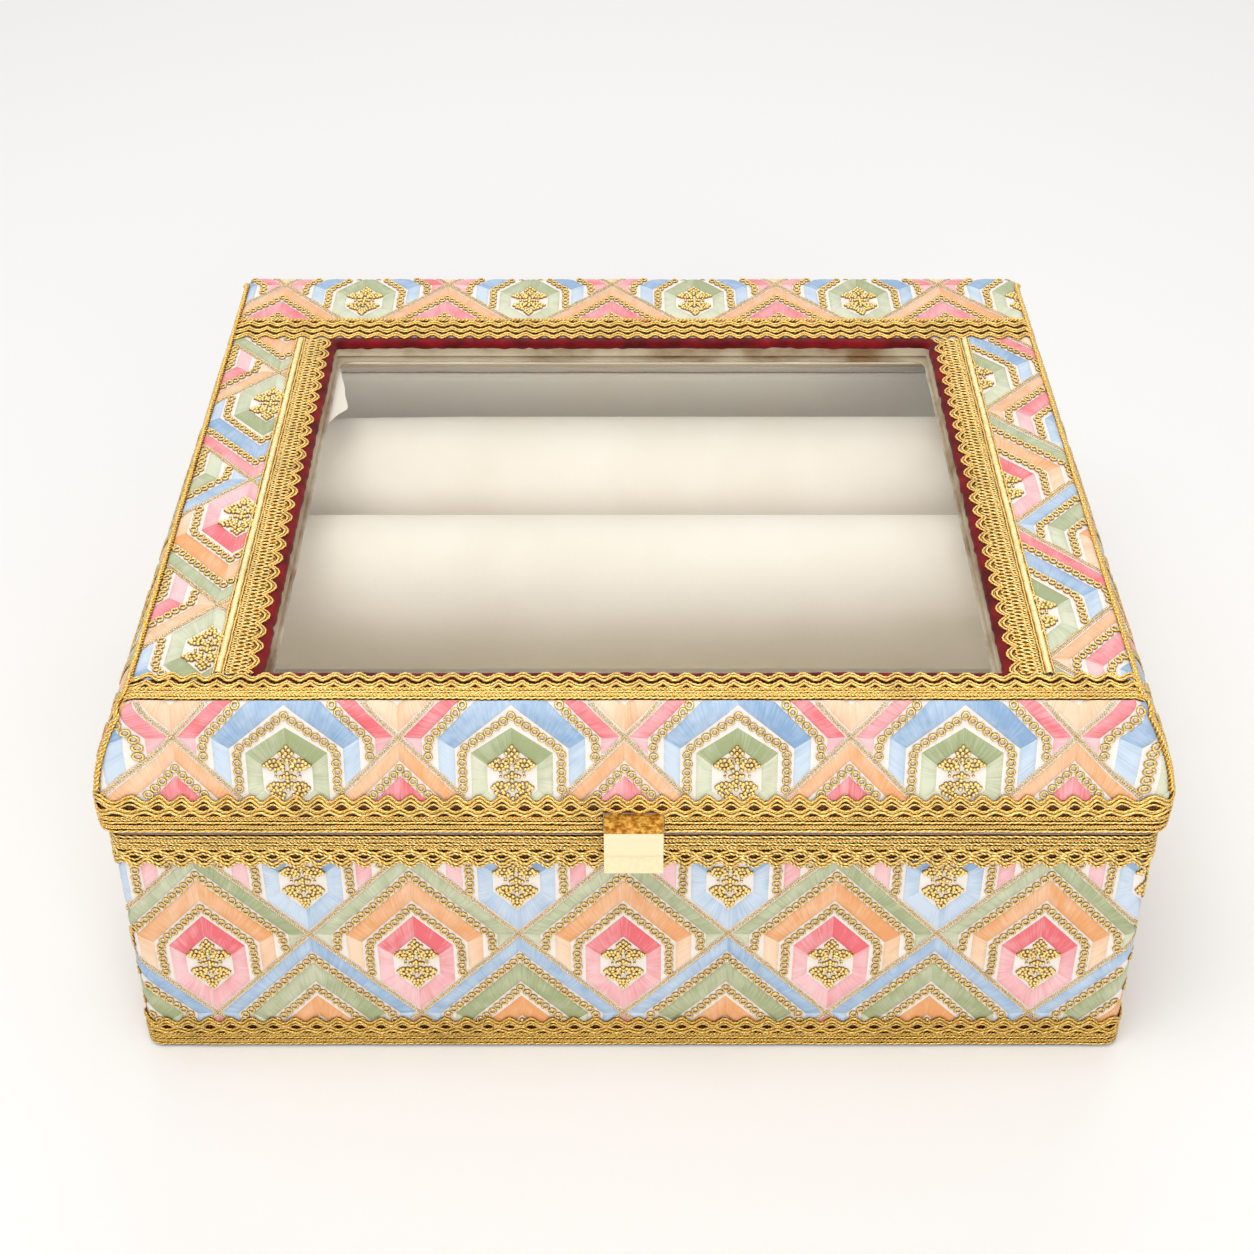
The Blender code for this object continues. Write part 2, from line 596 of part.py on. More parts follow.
def make_edge_cords(pivot):
    """A cord along each side of the lid's top edge, and down both corners to the rim's lace."""
    stand_off = EDGE_CORD_RADIUS + FIT_GAP
    lace_top = LID_RIM_Z + FIT_GAP + LID_RIM_LACE_HEIGHT + stand_off
    drop = CORNER_RADIUS * (1 - math.cos(math.pi / 4))
    bend = RIDGE_RADIUS * (1 - math.cos(math.pi / 4))
    bend_z = COVER_TOP_Z - bend
    low_x = LID_HALF_X - lid_inset(lace_top) - drop
    high_z = COVER_TOP_Z - RIDGE_RADIUS
    high_x = LID_HALF_X - lid_inset(high_z)
    out = stand_off * math.cos(math.pi / 4)
    ridge_x = high_x - bend + out
    for side, sign in (("left", -1), ("right", 1)):
        route = []
        for way, lean in ((-1, LID_LEAN), (1, LID_BACK_LEAN)):
            low_y = LID_HALF_Y - lid_inset(lace_top, lean) - drop
            high_y = LID_HALF_Y - lid_inset(high_z, lean)
            leg = [(low_x + out, low_y + out, lace_top),
                   (high_x - drop + out, high_y - drop + out, high_z),
                   (ridge_x - drop + out / 2, high_y - drop - bend + out / 2, bend_z + out),
                   (ridge_x, high_y - CORNER_RADIUS, bend_z + out)]
            leg = [(sign * x, way * y, z) for x, y, z in leg]
            route += leg if way < 0 else leg[::-1]
        curve = bpy.data.curves.new("lid_edge_cord_" + side, "CURVE")
        curve.dimensions = "3D"
        curve.bevel_depth = EDGE_CORD_RADIUS
        curve.bevel_resolution = 1
        curve.use_fill_caps = True
        spline = curve.splines.new("POLY")
        spline.points.add(len(route) - 1)
        for point, place in zip(spline.points, route):
            point.co = (*place, 1.0)
        cord = bpy.data.objects.new("lid_edge_cord_" + side, curve)
        PARTS.objects.link(cord)
        curve.materials.append(finish("gold_lace"))
        cord.parent = pivot
        cord.matrix_parent_inverse = pivot.matrix_basis.inverted()


def lid_wall_point(height, proud, way):
    """The (y, z) of a point that stands proud of the lid's front (-1) or back (1) cover."""
    lean = LID_LEAN if way < 0 else LID_BACK_LEAN
    slope = lean / (COVER_TOP_Z - SEAM_HEIGHT)
    level = proud * math.sqrt(1 + slope * slope)
    return (way * (LID_HALF_Y - lid_inset(height, lean) + level), height)


def knuckle_cutters(name, x, outer):
    """Boxes that clear the outer knuckles' room (outer) or the middle knuckle's room."""
    middle = HINGE_WIDTH * KNUCKLE_SHARE / 2
    room = KNUCKLE_RADIUS + FIT_GAP
    low_y = HINGE_Y - room - OVERRUN
    low_z = SEAM_HEIGHT - room
    high_z = SEAM_HEIGHT + room
    if outer:
        far = HINGE_WIDTH / 2 + OVERRUN
        spans = ((-far, -middle), (middle, far))
    else:
        spans = ((-middle - FIT_GAP, middle + FIT_GAP),)
    form = bmesh.new()
    for low_x, high_x in spans:
        size = Vector((high_x - low_x, room + OVERRUN + room, high_z - low_z))
        centre = Vector((x + (low_x + high_x) / 2, low_y + size.y / 2, SEAM_HEIGHT))
        block = bmesh.ops.create_cube(form, size=1.0)["verts"]
        bmesh.ops.scale(form, vec=size, verts=block)
        bmesh.ops.translate(form, vec=centre, verts=block)
    return link_object(name, mesh_from(name, form))


def make_hinge(side, sign, pivot, base, lid):
    """One butt hinge: a cranked leaf on the base, a leaf on the lid and the pin through both."""
    x = sign * HINGE_X
    low_x = x - HINGE_WIDTH / 2
    high_x = x + HINGE_WIDTH / 2
    half = HINGE_LEAF_THICKNESS / 2
    hang_y = HINGE_Y - KNUCKLE_RADIUS + half
    base_y = BASE_HALF_Y + FIT_GAP + half
    crank_top = SEAM_HEIGHT - HINGE_LEAF_THICKNESS
    crank_foot = crank_top - HINGE_CRANK_DROP
    base_route = [(hang_y, SEAM_HEIGHT), (hang_y, crank_top), (base_y, crank_foot),
                  (base_y, crank_foot - HINGE_LEAF_HEIGHT)]
    lid_foot = SEAM_HEIGHT + KNUCKLE_RADIUS + FIT_GAP
    lid_route = [(hang_y, SEAM_HEIGHT), lid_wall_point(lid_foot, FIT_GAP + half, 1),
                 lid_wall_point(lid_foot + HINGE_LEAF_HEIGHT, FIT_GAP + half, 1)]
    bore_radius = HINGE_PIN_RADIUS + HINGE_PIN_CLEARANCE
    bore = rod("hinge_bore_" + side, bore_radius, low_x - OVERRUN, high_x + OVERRUN, HINGE_Y, SEAM_HEIGHT,
               KNUCKLE_STEPS)
    leaves = {}
    for owner, route, carrier, outer in (("base", base_route, None, False), ("lid", lid_route, pivot, True)):
        name = "hinge_leaf_" + owner + "_" + side
        outline = strip_points(route, HINGE_LEAF_THICKNESS)
        leaf = outline_solid(name, outline, low_x, high_x, "pale_brass", carrier)
        barrel = rod(name + "_barrel", KNUCKLE_RADIUS, low_x, high_x, HINGE_Y, SEAM_HEIGHT, KNUCKLE_STEPS)
        cut(leaf, barrel, "UNION")
        cut(leaf, knuckle_cutters(name + "_room", x, outer))
        cut(leaf, bore)
        leaves[owner] = leaf
    rod("hinge_pin_" + side, HINGE_PIN_RADIUS, low_x, high_x, HINGE_Y, SEAM_HEIGHT, KNUCKLE_STEPS,
        "pale_brass")
    spread = HINGE_WIDTH * NAIL_SPREAD_SHARE / 2
    head = half + FIT_GAP
    reach = head + half + FIT_GAP + COVER_THICKNESS + FIT_GAP + NAIL_BITE
    base_z = crank_foot - HINGE_LEAF_HEIGHT / 2
    places = [(x + way * spread, base_y + head, base_z) for way in (-1, 1)]
    names = ["hinge_nail_base_%s_%s" % (side, which) for which in ("a", "b")]
    nails(names, places, (0, -1, 0), reach, None, (leaves["base"], base["cover"], base["board_back"]))
    lid_y, lid_z = lid_wall_point(lid_foot + HINGE_LEAF_HEIGHT / 2, FIT_GAP + half + head, 1)
    slope = LID_BACK_LEAN / (COVER_TOP_Z - SEAM_HEIGHT)
    places = [(x + way * spread, lid_y, lid_z) for way in (-1, 1)]
    names = ["hinge_nail_lid_%s_%s" % (side, which) for which in ("a", "b")]
    nails(names, places, (0, -1, -slope), reach, pivot, (leaves["lid"], lid["cover"], lid["board_back"]))
    clear = HINGE_WIDTH / 2 + FIT_GAP
    notch_low = (x - clear, BASE_HALF_Y - LID_LEAN, crank_foot - HINGE_LEAF_HEIGHT - FIT_GAP)
    notch_high = (x + clear, HINGE_Y + OVERRUN, lid_foot + HINGE_LEAF_HEIGHT + FIT_GAP)
    notch = box("hinge_notch_" + side, notch_low, notch_high)
    cut(base["top_lace"], notch)
    cut(lid["rim_lace"], notch)


def make_clasp(pivot, base, lid):
    """A bent tab on the lid that closes over a stud on the base."""
    half = CLASP_THICKNESS / 2
    flange_z = SEAM_HEIGHT + CLASP_TOP_ABOVE_SEAM
    leaf_foot = LID_RIM_Z + CLASP_LEAF_CLEARANCE
    face = CLASP_FACE_Y + half
    crease = (face, SEAM_HEIGHT - CLASP_CREASE_BELOW_SEAM)
    lip = (face - CLASP_LIP, SEAM_HEIGHT - CLASP_FOOT_BELOW_SEAM)
    route = [lid_wall_point(leaf_foot, FIT_GAP + half, -1), lid_wall_point(flange_z, FIT_GAP + half, -1),
             (face, flange_z), crease, lip]
    low_x = -CLASP_WIDTH / 2
    high_x = CLASP_WIDTH / 2
    outline = strip_points(route, CLASP_THICKNESS)
    tab = outline_solid("clasp_tab", outline, low_x, high_x, "pale_brass", pivot)
    clear = CLASP_WIDTH / 2 + FIT_GAP
    notch_low = (-clear, CLASP_FACE_Y, LID_RIM_Z)
    notch_high = (clear, -LID_HALF_Y + LID_LEAN, flange_z + half + FIT_GAP)
    cut(lid["rim_lace"], box("clasp_notch", notch_low, notch_high))
    head = half + FIT_GAP
    reach = head + half + FIT_GAP + COVER_THICKNESS + FIT_GAP + NAIL_BITE
    nail_y, nail_z = lid_wall_point((leaf_foot + flange_z) / 2, FIT_GAP + half + head, -1)
    slope = LID_LEAN / (COVER_TOP_Z - SEAM_HEIGHT)
    nails(["clasp_nail"], [(0.0, nail_y, nail_z)], (0, 1, -slope), reach, pivot,
          (tab, lid["cover"], lid["board_front"]))
    catch_z = SEAM_HEIGHT - CATCH_DROP
    lace_face = -(BASE_HALF_Y + LACE_PROUD)
    plate_back = lace_face - FIT_GAP
    plate_face = plate_back - CATCH_PLATE_THICKNESS
    plate_low = (-CATCH_PLATE_WIDTH / 2, plate_face, catch_z - CATCH_PLATE_HEIGHT / 2)
    plate_high = (CATCH_PLATE_WIDTH / 2, plate_back, catch_z + CATCH_PLATE_HEIGHT / 2)
    catch = box("catch_plate", plate_low, plate_high, "pale_brass")
    stud_tip = CLASP_FACE_Y + CLASP_THICKNESS + FIT_GAP
    shank_end = -BASE_HALF_Y + BOARD_OFFSET + NAIL_BITE
    shank_root = plate_face - FIT_GAP
    stud = front_rod(stud_tip, shank_root, CATCH_STUD_RADIUS, catch_z)
    shank = front_rod(shank_root - OVERRUN, shank_end, NAIL_SHANK_RADIUS, catch_z)
    catch_stud = link_object("catch_stud", mesh_from("catch_stud", stud), "pale_brass")
    cut(catch_stud, link_object("catch_shank", mesh_from("catch_shank", shank)), "UNION")
    drill = front_rod(shank_root - OVERRUN, shank_end + FIT_GAP, NAIL_SHANK_RADIUS + FIT_GAP, catch_z)
    hole = link_object("catch_hole", mesh_from("catch_hole", drill))
    for piece in (catch, base["top_lace"], base["cover"], base["board_front"]):
        cut(piece, hole)


def main():
    """Build the whole box."""
    pivot = bpy.data.objects.new("lid_pivot", None)
    pivot.location = (0.0, HINGE_Y, SEAM_HEIGHT)
    PARTS.objects.link(pivot)
    base = make_base()
    make_rest_boards()
    make_roll("back_roll", ROLL_BACK_Y)
    make_roll("front_roll", ROLL_FRONT_Y)
    lid = make_lid(pivot)
    make_window_laces(pivot)
    make_edge_cords(pivot)
    for side, sign in (("left", -1), ("right", 1)):
        make_hinge(side, sign, pivot, base, lid)
    make_clasp(pivot, base, lid)


clear_scene()
PARTS = make_collection("bangle_box")
CUTTERS = make_collection("cutters")
main()
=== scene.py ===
"""Looks of the bangle box: embroidered cloth, gold lace, padded rolls, glass and brass.

Lengths are in millimetres and turn into metres where a mesh is made. X runs to the box's
right, Y to its back and Z up, and the origin is the middle of the underside.
"""

import logging
import math
from collections.abc import Callable, Sequence
from dataclasses import dataclass, field, replace
from enum import Enum

import bpy
import numpy as np
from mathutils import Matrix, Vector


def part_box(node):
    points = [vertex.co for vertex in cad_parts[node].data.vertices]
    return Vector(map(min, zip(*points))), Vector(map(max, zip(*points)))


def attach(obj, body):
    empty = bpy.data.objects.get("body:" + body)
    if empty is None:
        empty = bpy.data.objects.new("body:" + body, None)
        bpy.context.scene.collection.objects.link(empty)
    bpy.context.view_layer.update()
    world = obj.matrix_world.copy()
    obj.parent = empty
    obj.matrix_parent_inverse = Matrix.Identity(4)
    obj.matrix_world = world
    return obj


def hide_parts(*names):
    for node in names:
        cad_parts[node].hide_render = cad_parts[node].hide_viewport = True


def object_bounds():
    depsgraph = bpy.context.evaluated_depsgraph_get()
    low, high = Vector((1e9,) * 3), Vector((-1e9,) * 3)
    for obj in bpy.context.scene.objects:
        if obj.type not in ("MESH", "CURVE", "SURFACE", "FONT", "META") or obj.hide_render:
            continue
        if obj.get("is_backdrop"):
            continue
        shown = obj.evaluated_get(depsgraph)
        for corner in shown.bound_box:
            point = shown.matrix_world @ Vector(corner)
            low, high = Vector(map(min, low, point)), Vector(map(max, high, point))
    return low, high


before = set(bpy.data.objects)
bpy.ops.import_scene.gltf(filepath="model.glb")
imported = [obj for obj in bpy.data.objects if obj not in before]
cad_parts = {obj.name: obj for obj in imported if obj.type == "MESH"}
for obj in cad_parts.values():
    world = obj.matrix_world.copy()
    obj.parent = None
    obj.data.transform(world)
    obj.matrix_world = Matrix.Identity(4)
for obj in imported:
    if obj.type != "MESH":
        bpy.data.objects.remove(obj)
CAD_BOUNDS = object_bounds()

log = logging.getLogger("bangle_box")

MM = 0.001
SEED = 11
TAU = 2 * math.pi

Array = np.ndarray
Place = Callable[[Array, Array, Array], Array]
Reach = Callable[[Array], tuple[Array, Array]]
Colour = tuple[float, float, float, float]
Socket = bpy.types.NodeSocket
WHITE: Colour = (1.0, 1.0, 1.0, 1.0)
BLACK: Colour = (0.0, 0.0, 0.0, 1.0)


def cad_box(node: str) -> tuple[Array, Array]:
    """The lowest and highest corner of a CAD node, in millimetres."""
    low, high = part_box(node)
    return np.array(low) / MM, np.array(high) / MM


def paint(red: int, green: int, blue: int) -> Colour:
    """A colour given in display values from 0 to 255, as the linear one that shaders take."""
    linear = [
        c / 255 / 12.92 if c <= 10 else ((c / 255 + 0.055) / 1.055) ** 2.4 for c in (red, green, blue)
    ]
    return (*linear, 1.0)


def grid_faces(rows: int, columns: int, closed: bool = False) -> Array:
    """Quads of a grid of points.

    Args:
        rows: number of rows of points.
        columns: number of points in a row.
        closed: whether the last column joins the first.

    Returns:
        One row of four point numbers for each quad.
    """
    reach = columns if closed else columns - 1
    row, column = np.meshgrid(np.arange(rows - 1), np.arange(reach), indexing="ij")
    across = (column + 1) % columns
    corners = (row * columns + column, row * columns + across)
    above = ((row + 1) * columns + across, (row + 1) * columns + column)
    return np.stack([*corners, *above], -1).reshape(-1, 4)


def walked(path: Array) -> Array:
    """The distance along a path at each of its points."""
    return np.concatenate([[0], np.cumsum(np.linalg.norm(np.diff(path, axis=0), axis=1))])


def read_off(spots: Array, known: Array, rows: Array) -> Array:
    """Rows in between known ones, column by column."""
    return np.stack([np.interp(spots, known, column) for column in rows.T], -1)


def together(*parts: Array) -> Array:
    """One row of numbers for each point, from arrays that are spread to the same shape."""
    return np.stack(np.broadcast_arrays(*parts), -1)


def ring_steps(count: int) -> Array:
    """The two ends of each step round a ring of points."""
    return np.stack([np.arange(count), (np.arange(count) + 1) % count], 1)


def at_height(flat: Array, z: Array | float) -> Array:
    """Rows with one more number at the end of each, as flat points set at a height."""
    return np.column_stack([flat, np.full(len(flat), z)])


def many(points: Array, faces: Array) -> tuple[Array, Array]:
    """Joins copies of one form into a single list of points and faces.

    Args:
        points: copies x points x 3.
        faces: the faces of one copy.

    Returns:
        All points as rows of three, and all faces.
    """
    copies, count = points.shape[:2]
    steps = (np.arange(copies) * count)[:, None, None]
    return points.reshape(-1, points.shape[-1]), (faces[None] + steps).reshape(-1, faces.shape[1])


class MeshDraft:
    """Points and faces of one piece while it is being made, in millimetres.

    The thread attribute holds, for each point, the distance along a thread, the distance
    across it, and a value from 0 to 1 that carries painted light: painted sheen on the
    satin, painted highlight and shade on the gold thread and the lace backing, and a
    random tone on the ground cloth.
    """

    def __init__(self) -> None:
        """Starts empty."""
        self.points: list[Array] = []
        self.threads: list[Array] = []
        self.faces: dict[int, list[Array]] = {3: [], 4: []}
        self.slots: dict[int, list[Array]] = {3: [], 4: []}
        self.count = 0

    def add(self, points: Array, faces: Array, thread: Array | None = None, slot: int = 0) -> None:
        """Adds a form.

        Args:
            points: rows of three coordinates.
            faces: rows of three or four point numbers.
            thread: rows of three values for the thread attribute.
            slot: which of the piece's materials the faces take.
        """
        if not len(faces):
            return
        sides = faces.shape[1]
        self.points.append(points)
        self.threads.append(np.zeros_like(points) if thread is None else thread)
        self.faces[sides].append(faces + self.count)
        self.slots[sides].append(np.full(len(faces), slot, np.int32))
        self.count += len(points)

    def grid(self, rows: Array, closed: bool = False, flip: bool = False,
             thread: Array | None = None) -> None:
        """Adds a form given as a grid of points.

        Args:
            rows: rows x columns x 3.
            closed: whether the last column joins the first.
            flip: whether the faces point the other way.
            thread: the thread attribute, laid out as the rows are.
        """
        faces = grid_faces(*rows.shape[:2], closed)
        self.add(rows.reshape(-1, 3), faces[:, ::-1] if flip else faces,
                 None if thread is None else thread.reshape(-1, 3))

    def mount(self, name: str, finish: "Finish", body: str, slot: str, *replaces: str) -> bpy.types.Object:
        """Makes the piece in one finish and sets it on the box, as mount does."""
        return mount(self.piece(name, [finish.material()]), body, slot, *replaces)

    def piece(self, name: str, materials: Sequence[bpy.types.Material],
              smooth: bool = True) -> bpy.types.Object:
        """Makes the object.

        Args:
            name: the object's name.
            materials: its materials, in the order of the slots.
            smooth: whether its faces are shaded smooth.

        Returns:
            The new object, linked to the scene.
        """
        quads = np.concatenate([f.ravel() for f in self.faces[4]] or [np.zeros(0, int)])
        tris = np.concatenate([f.ravel() for f in self.faces[3]] or [np.zeros(0, int)])
        slots = np.concatenate(self.slots[4] + self.slots[3])
        corners = np.concatenate([quads, tris]).astype(np.int32)
        quad_count, tri_count = len(quads) // 4, len(tris) // 3
        starts = np.concatenate([np.arange(quad_count) * 4, len(quads) + np.arange(tri_count) * 3])
        points = (np.concatenate(self.points) * MM).astype(np.float32)
        mesh = bpy.data.meshes.new(name)
        mesh.vertices.add(len(points))
        mesh.vertices.foreach_set("co", points.ravel())
        mesh.loops.add(len(corners))
        mesh.loops.foreach_set("vertex_index", corners)
        mesh.polygons.add(len(starts))
        mesh.polygons.foreach_set("loop_start", starts.astype(np.int32))
        mesh.polygons.foreach_set("material_index", slots)
        mesh.update(calc_edges=True)
        mesh.validate()
        thread = mesh.attributes.new("thread", "FLOAT_VECTOR", "POINT")
        thread.data.foreach_set("vector", np.concatenate(self.threads).astype(np.float32).ravel())
        if smooth:
            mesh.shade_smooth()
        for material in materials:
            mesh.materials.append(material)
        made = bpy.data.objects.new(name, mesh)
        bpy.context.scene.collection.objects.link(made)
        return made


def mount(piece: bpy.types.Object, body: str, slot: str, *replaces: str) -> bpy.types.Object:
    """Sets a finished piece on the box.

    Args:
        piece: the object.
        body: the CAD body that it moves with.
        slot: the record's material slot; not used.
        replaces: the CAD nodes that it stands for.

    Returns:
        The same object.
    """
    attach(piece, body)
    if replaces:
        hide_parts(*replaces)
    log.info("%s: %d faces on %s", piece.name, len(piece.data.polygons), body)
    return piece


def grid_piece(name: str, rows: Sequence[Array], finish: "Finish", body: str, slot: str, *replaces: str,
               closed: bool = True, flip: bool = False) -> bpy.types.Object:
    """Makes a piece that is one grid of points, and sets it on the box.

    Args:
        name: the piece's name.
        rows: its rows of points.
        finish: its surface.
        body: the CAD body that it moves with.
        slot: the record's material slot.
        replaces: the CAD nodes that it stands for.
        closed: whether the last column joins the first.
        flip: whether the faces point the other way.

    Returns:
        The piece.
    """
    draft = MeshDraft()
    draft.grid(np.array(rows), closed, flip)
    return draft.mount(name, finish, body, slot, *replaces)


class Shading:
    """Writes nodes into one tree."""

    def __init__(self, tree: bpy.types.NodeTree) -> None:
        """Takes the tree to write in."""
        self.tree = tree

    def node(self, kind: str, inputs: dict | None = None, **settings: object) -> bpy.types.Node:
        """Adds a node.

        Args:
            kind: the node's type, without the ShaderNode in front.
            inputs: values, or sockets to link from, by input name or number.
            settings: properties of the node.

        Returns:
            The new node.
        """
        made = self.tree.nodes.new("ShaderNode" + kind)
        for key, value in settings.items():
            setattr(made, key, value)
        for key, value in (inputs or {}).items():
            if isinstance(value, Socket):
                self.tree.links.new(value, made.inputs[key])
            else:
                made.inputs[key].default_value = value
        return made

    def math(self, operation: str, first: Socket | float, second: Socket | float = 0.0,
             clamp: bool = False) -> Socket:
        """The result of a sum on two values or sockets."""
        return self.node("Math", {0: first, 1: second}, operation=operation, use_clamp=clamp).outputs[0]

    def mix(self, share: Socket, first: Socket | Colour, second: Socket | Colour) -> Socket:
        """A colour between two colours or sockets."""
        made = self.node("Mix", {0: share, 6: first, 7: second}, data_type="RGBA")
        return made.outputs[2]

    def ramp(self, value: Socket, stops: Sequence[tuple[float, float]]) -> Socket:
        """A value mapped from one range to another, given as (from, to) at two ends."""
        (a, x), (b, y) = stops
        made = self.node("MapRange", {0: value, 1: a, 2: b, 3: x, 4: y})
        return made.outputs[0]

    def spread(self, vector: Socket, x: float, y: float, z: float) -> Socket:
        """A vector with each part multiplied."""
        made = self.node("VectorMath", {0: vector, 1: (x, y, z)}, operation="MULTIPLY")
        return made.outputs[0]

    def noise(self, vector: Socket, scale: Socket | float, detail: float = 2.0) -> Socket:
        """Soft noise from 0 to 1."""
        return self.node("TexNoise", {"Vector": vector, "Scale": scale, "Detail": detail}).outputs[0]

    def ray(self, first: str, *others: str) -> Socket:
        """One where the ray is of any of these kinds, and nought elsewhere."""
        path = self.node("LightPath").outputs
        found = path[f"Is {first} Ray"]
        for kind in others:
            found = self.math("MAXIMUM", found, path[f"Is {kind} Ray"])
        return found

    def spot(self) -> Socket:
        """The place on the piece."""
        return self.node("TexCoord").outputs["Object"]

    def around_zero(self, value: Socket, scale: Socket | float) -> Socket:
        """Noise shifted to lie about zero, and scaled."""
        return self.math("MULTIPLY", self.math("SUBTRACT", value, 0.5), scale)


@dataclass(frozen=True)
class SharedLook:
    """A node group that several materials place, built the first time it is asked for.

    write fills the group from its inputs and gives the sockets that it puts out.
    """

    name: str
    inputs: dict[str, Colour | float]
    write: Callable[[Shading, bpy.types.NodeOutputs], dict[str, Socket]]

    def tree(self) -> bpy.types.NodeTree:
        """The group's tree."""
        found = bpy.data.node_groups.get(self.name)
        if found is None:
            found = bpy.data.node_groups.new(self.name, "ShaderNodeTree")
            for key, value in self.inputs.items():
                kind = "NodeSocketFloat" if isinstance(value, float) else "NodeSocketColor"
                found.interface.new_socket(key, in_out="INPUT", socket_type=kind).default_value = value
            made = self.write(Shading(found), found.nodes.new("NodeGroupInput").outputs)
            for key in made:
                kind = "NodeSocketColor" if key == "Colour" else "NodeSocketFloat"
                found.interface.new_socket(key, in_out="OUTPUT", socket_type=kind)
            target = found.nodes.new("NodeGroupOutput")
            for key, socket in made.items():
                found.links.new(socket, target.inputs[key])
        return found


def write_threads(s: Shading, given: bpy.types.NodeOutputs) -> dict[str, Socket]:
    """Satin stitches: fine threads side by side, with painted sheen: paler where the threads would turn to
    the light.
    """
    at = s.node("Attribute", attribute_name="thread").outputs["Vector"]
    parts = s.node("SeparateXYZ", {0: at})
    strand = s.noise(s.spread(at, 1.0, 0.05, 0.0), 1.6, 1.0)
    fine = s.noise(s.spread(at, 1.0, 0.03, 0.0), 7.0, 1.0)
    cloud = s.noise(s.spread(at, 1.0, 1.0, 0.0), 0.16, 1.0)
    streak = s.around_zero(strand, given["Streak"])
    drift = s.around_zero(cloud, given["Drift"])
    # painted sheen: the thread attribute's value, with random streaks and drift, mixes the deep dye towards
    # its painted sheen colour
    share = s.math("ADD", s.math("ADD", parts.outputs[2], streak), drift, clamp=True)
    wave = s.math("SINE", s.math("MULTIPLY", parts.outputs[0], TAU / 0.42))
    return {"Colour": s.mix(share, given["Deep"], given["Pale"]),
            "Height": s.math("ADD", s.math("MULTIPLY", wave, 0.5), s.math("MULTIPLY", fine, 1.4)),
            "Roughness": s.ramp(strand, ((0.3, 0.34), (0.7, 0.5)))}


def write_gilt(s: Shading, given: bpy.types.NodeOutputs) -> dict[str, Socket]:
    """Metal thread: a painted highlight where it stands up, painted shade in the gaps, with a tarnished
    grain.
    """
    at = s.node("Attribute", attribute_name="thread").outputs["Vector"]
    spot = s.spot()
    grain = s.noise(spot, given["Grain"], 2.0)
    age = s.noise(spot, 60.0, 2.0)
    # painted light: the thread attribute's value plus grain noise picks painted shade low down, the body
    # colour, and a painted highlight on top
    painted_light_share = s.math("ADD", s.node("SeparateXYZ", {0: at}).outputs[2], s.around_zero(grain, given["Sparkle"]))
    body = s.mix(s.ramp(painted_light_share, ((0.12, 0.0), (0.5, 1.0))), given["Gap"], given["Body"])
    lit = s.mix(s.ramp(painted_light_share, ((0.55, 0.0), (0.95, 1.0))), body, given["Glint"])
    return {"Colour": s.mix(s.ramp(age, ((0.5, 0.0), (0.85, 0.3))), lit, given["Gap"]), "Height": grain,
            "Roughness": s.ramp(grain, ((0.3, 0.2), (0.7, 0.42)))}


def write_nap(s: Shading, given: bpy.types.NodeOutputs) -> dict[str, Socket]:
    """Velvet and brushed cloth: a soft mottle where the nap lies, over fine fibres."""
    spot = s.spot()
    brushed = s.noise(s.spread(spot, 1.0, 0.6, 1.0), given["Brushing"], 3.0)
    fibre = s.noise(spot, given["Fibre"], 2.0)
    share = s.math("ADD", s.ramp(brushed, ((0.3, 0.0), (0.7, 0.8))), s.around_zero(fibre, 0.6), clamp=True)
    return {"Colour": s.mix(share, given["Shade"], given["Nap"]), "Height": fibre}


def write_grain(s: Shading, given: bpy.types.NodeOutputs) -> dict[str, Socket]:
    """A streaked grain along X, for wood, card and drawn metal."""
    spot = s.spot()
    long = s.noise(s.spread(spot, 0.08, 1.0, 1.0), given["Scale"], 4.0)
    fleck = s.around_zero(s.noise(spot, 900.0, 2.0), given["Fleck"])
    share = s.math("ADD", s.ramp(long, ((0.3, 0.0), (0.7, 1.0))), fleck, clamp=True)
    return {"Colour": s.mix(share, given["Dark"], given["Light"]), "Height": long}


SATIN_LOOK = SharedLook(
    "satin_threads", {"Deep": WHITE, "Pale": WHITE, "Streak": 0.8, "Drift": 0.8}, write_threads)
GILT_LOOK = SharedLook(
    "gilt_threads", {"Gap": BLACK, "Body": WHITE, "Glint": WHITE, "Grain": 2400.0, "Sparkle": 1.2},
    write_gilt)
NAP_LOOK = SharedLook(
    "brushed_nap", {"Shade": BLACK, "Nap": WHITE, "Brushing": 40.0, "Fibre": 1800.0}, write_nap)
GRAIN_LOOK = SharedLook(
    "streaked_grain", {"Dark": BLACK, "Light": WHITE, "Scale": 400.0, "Fleck": 0.5}, write_grain)


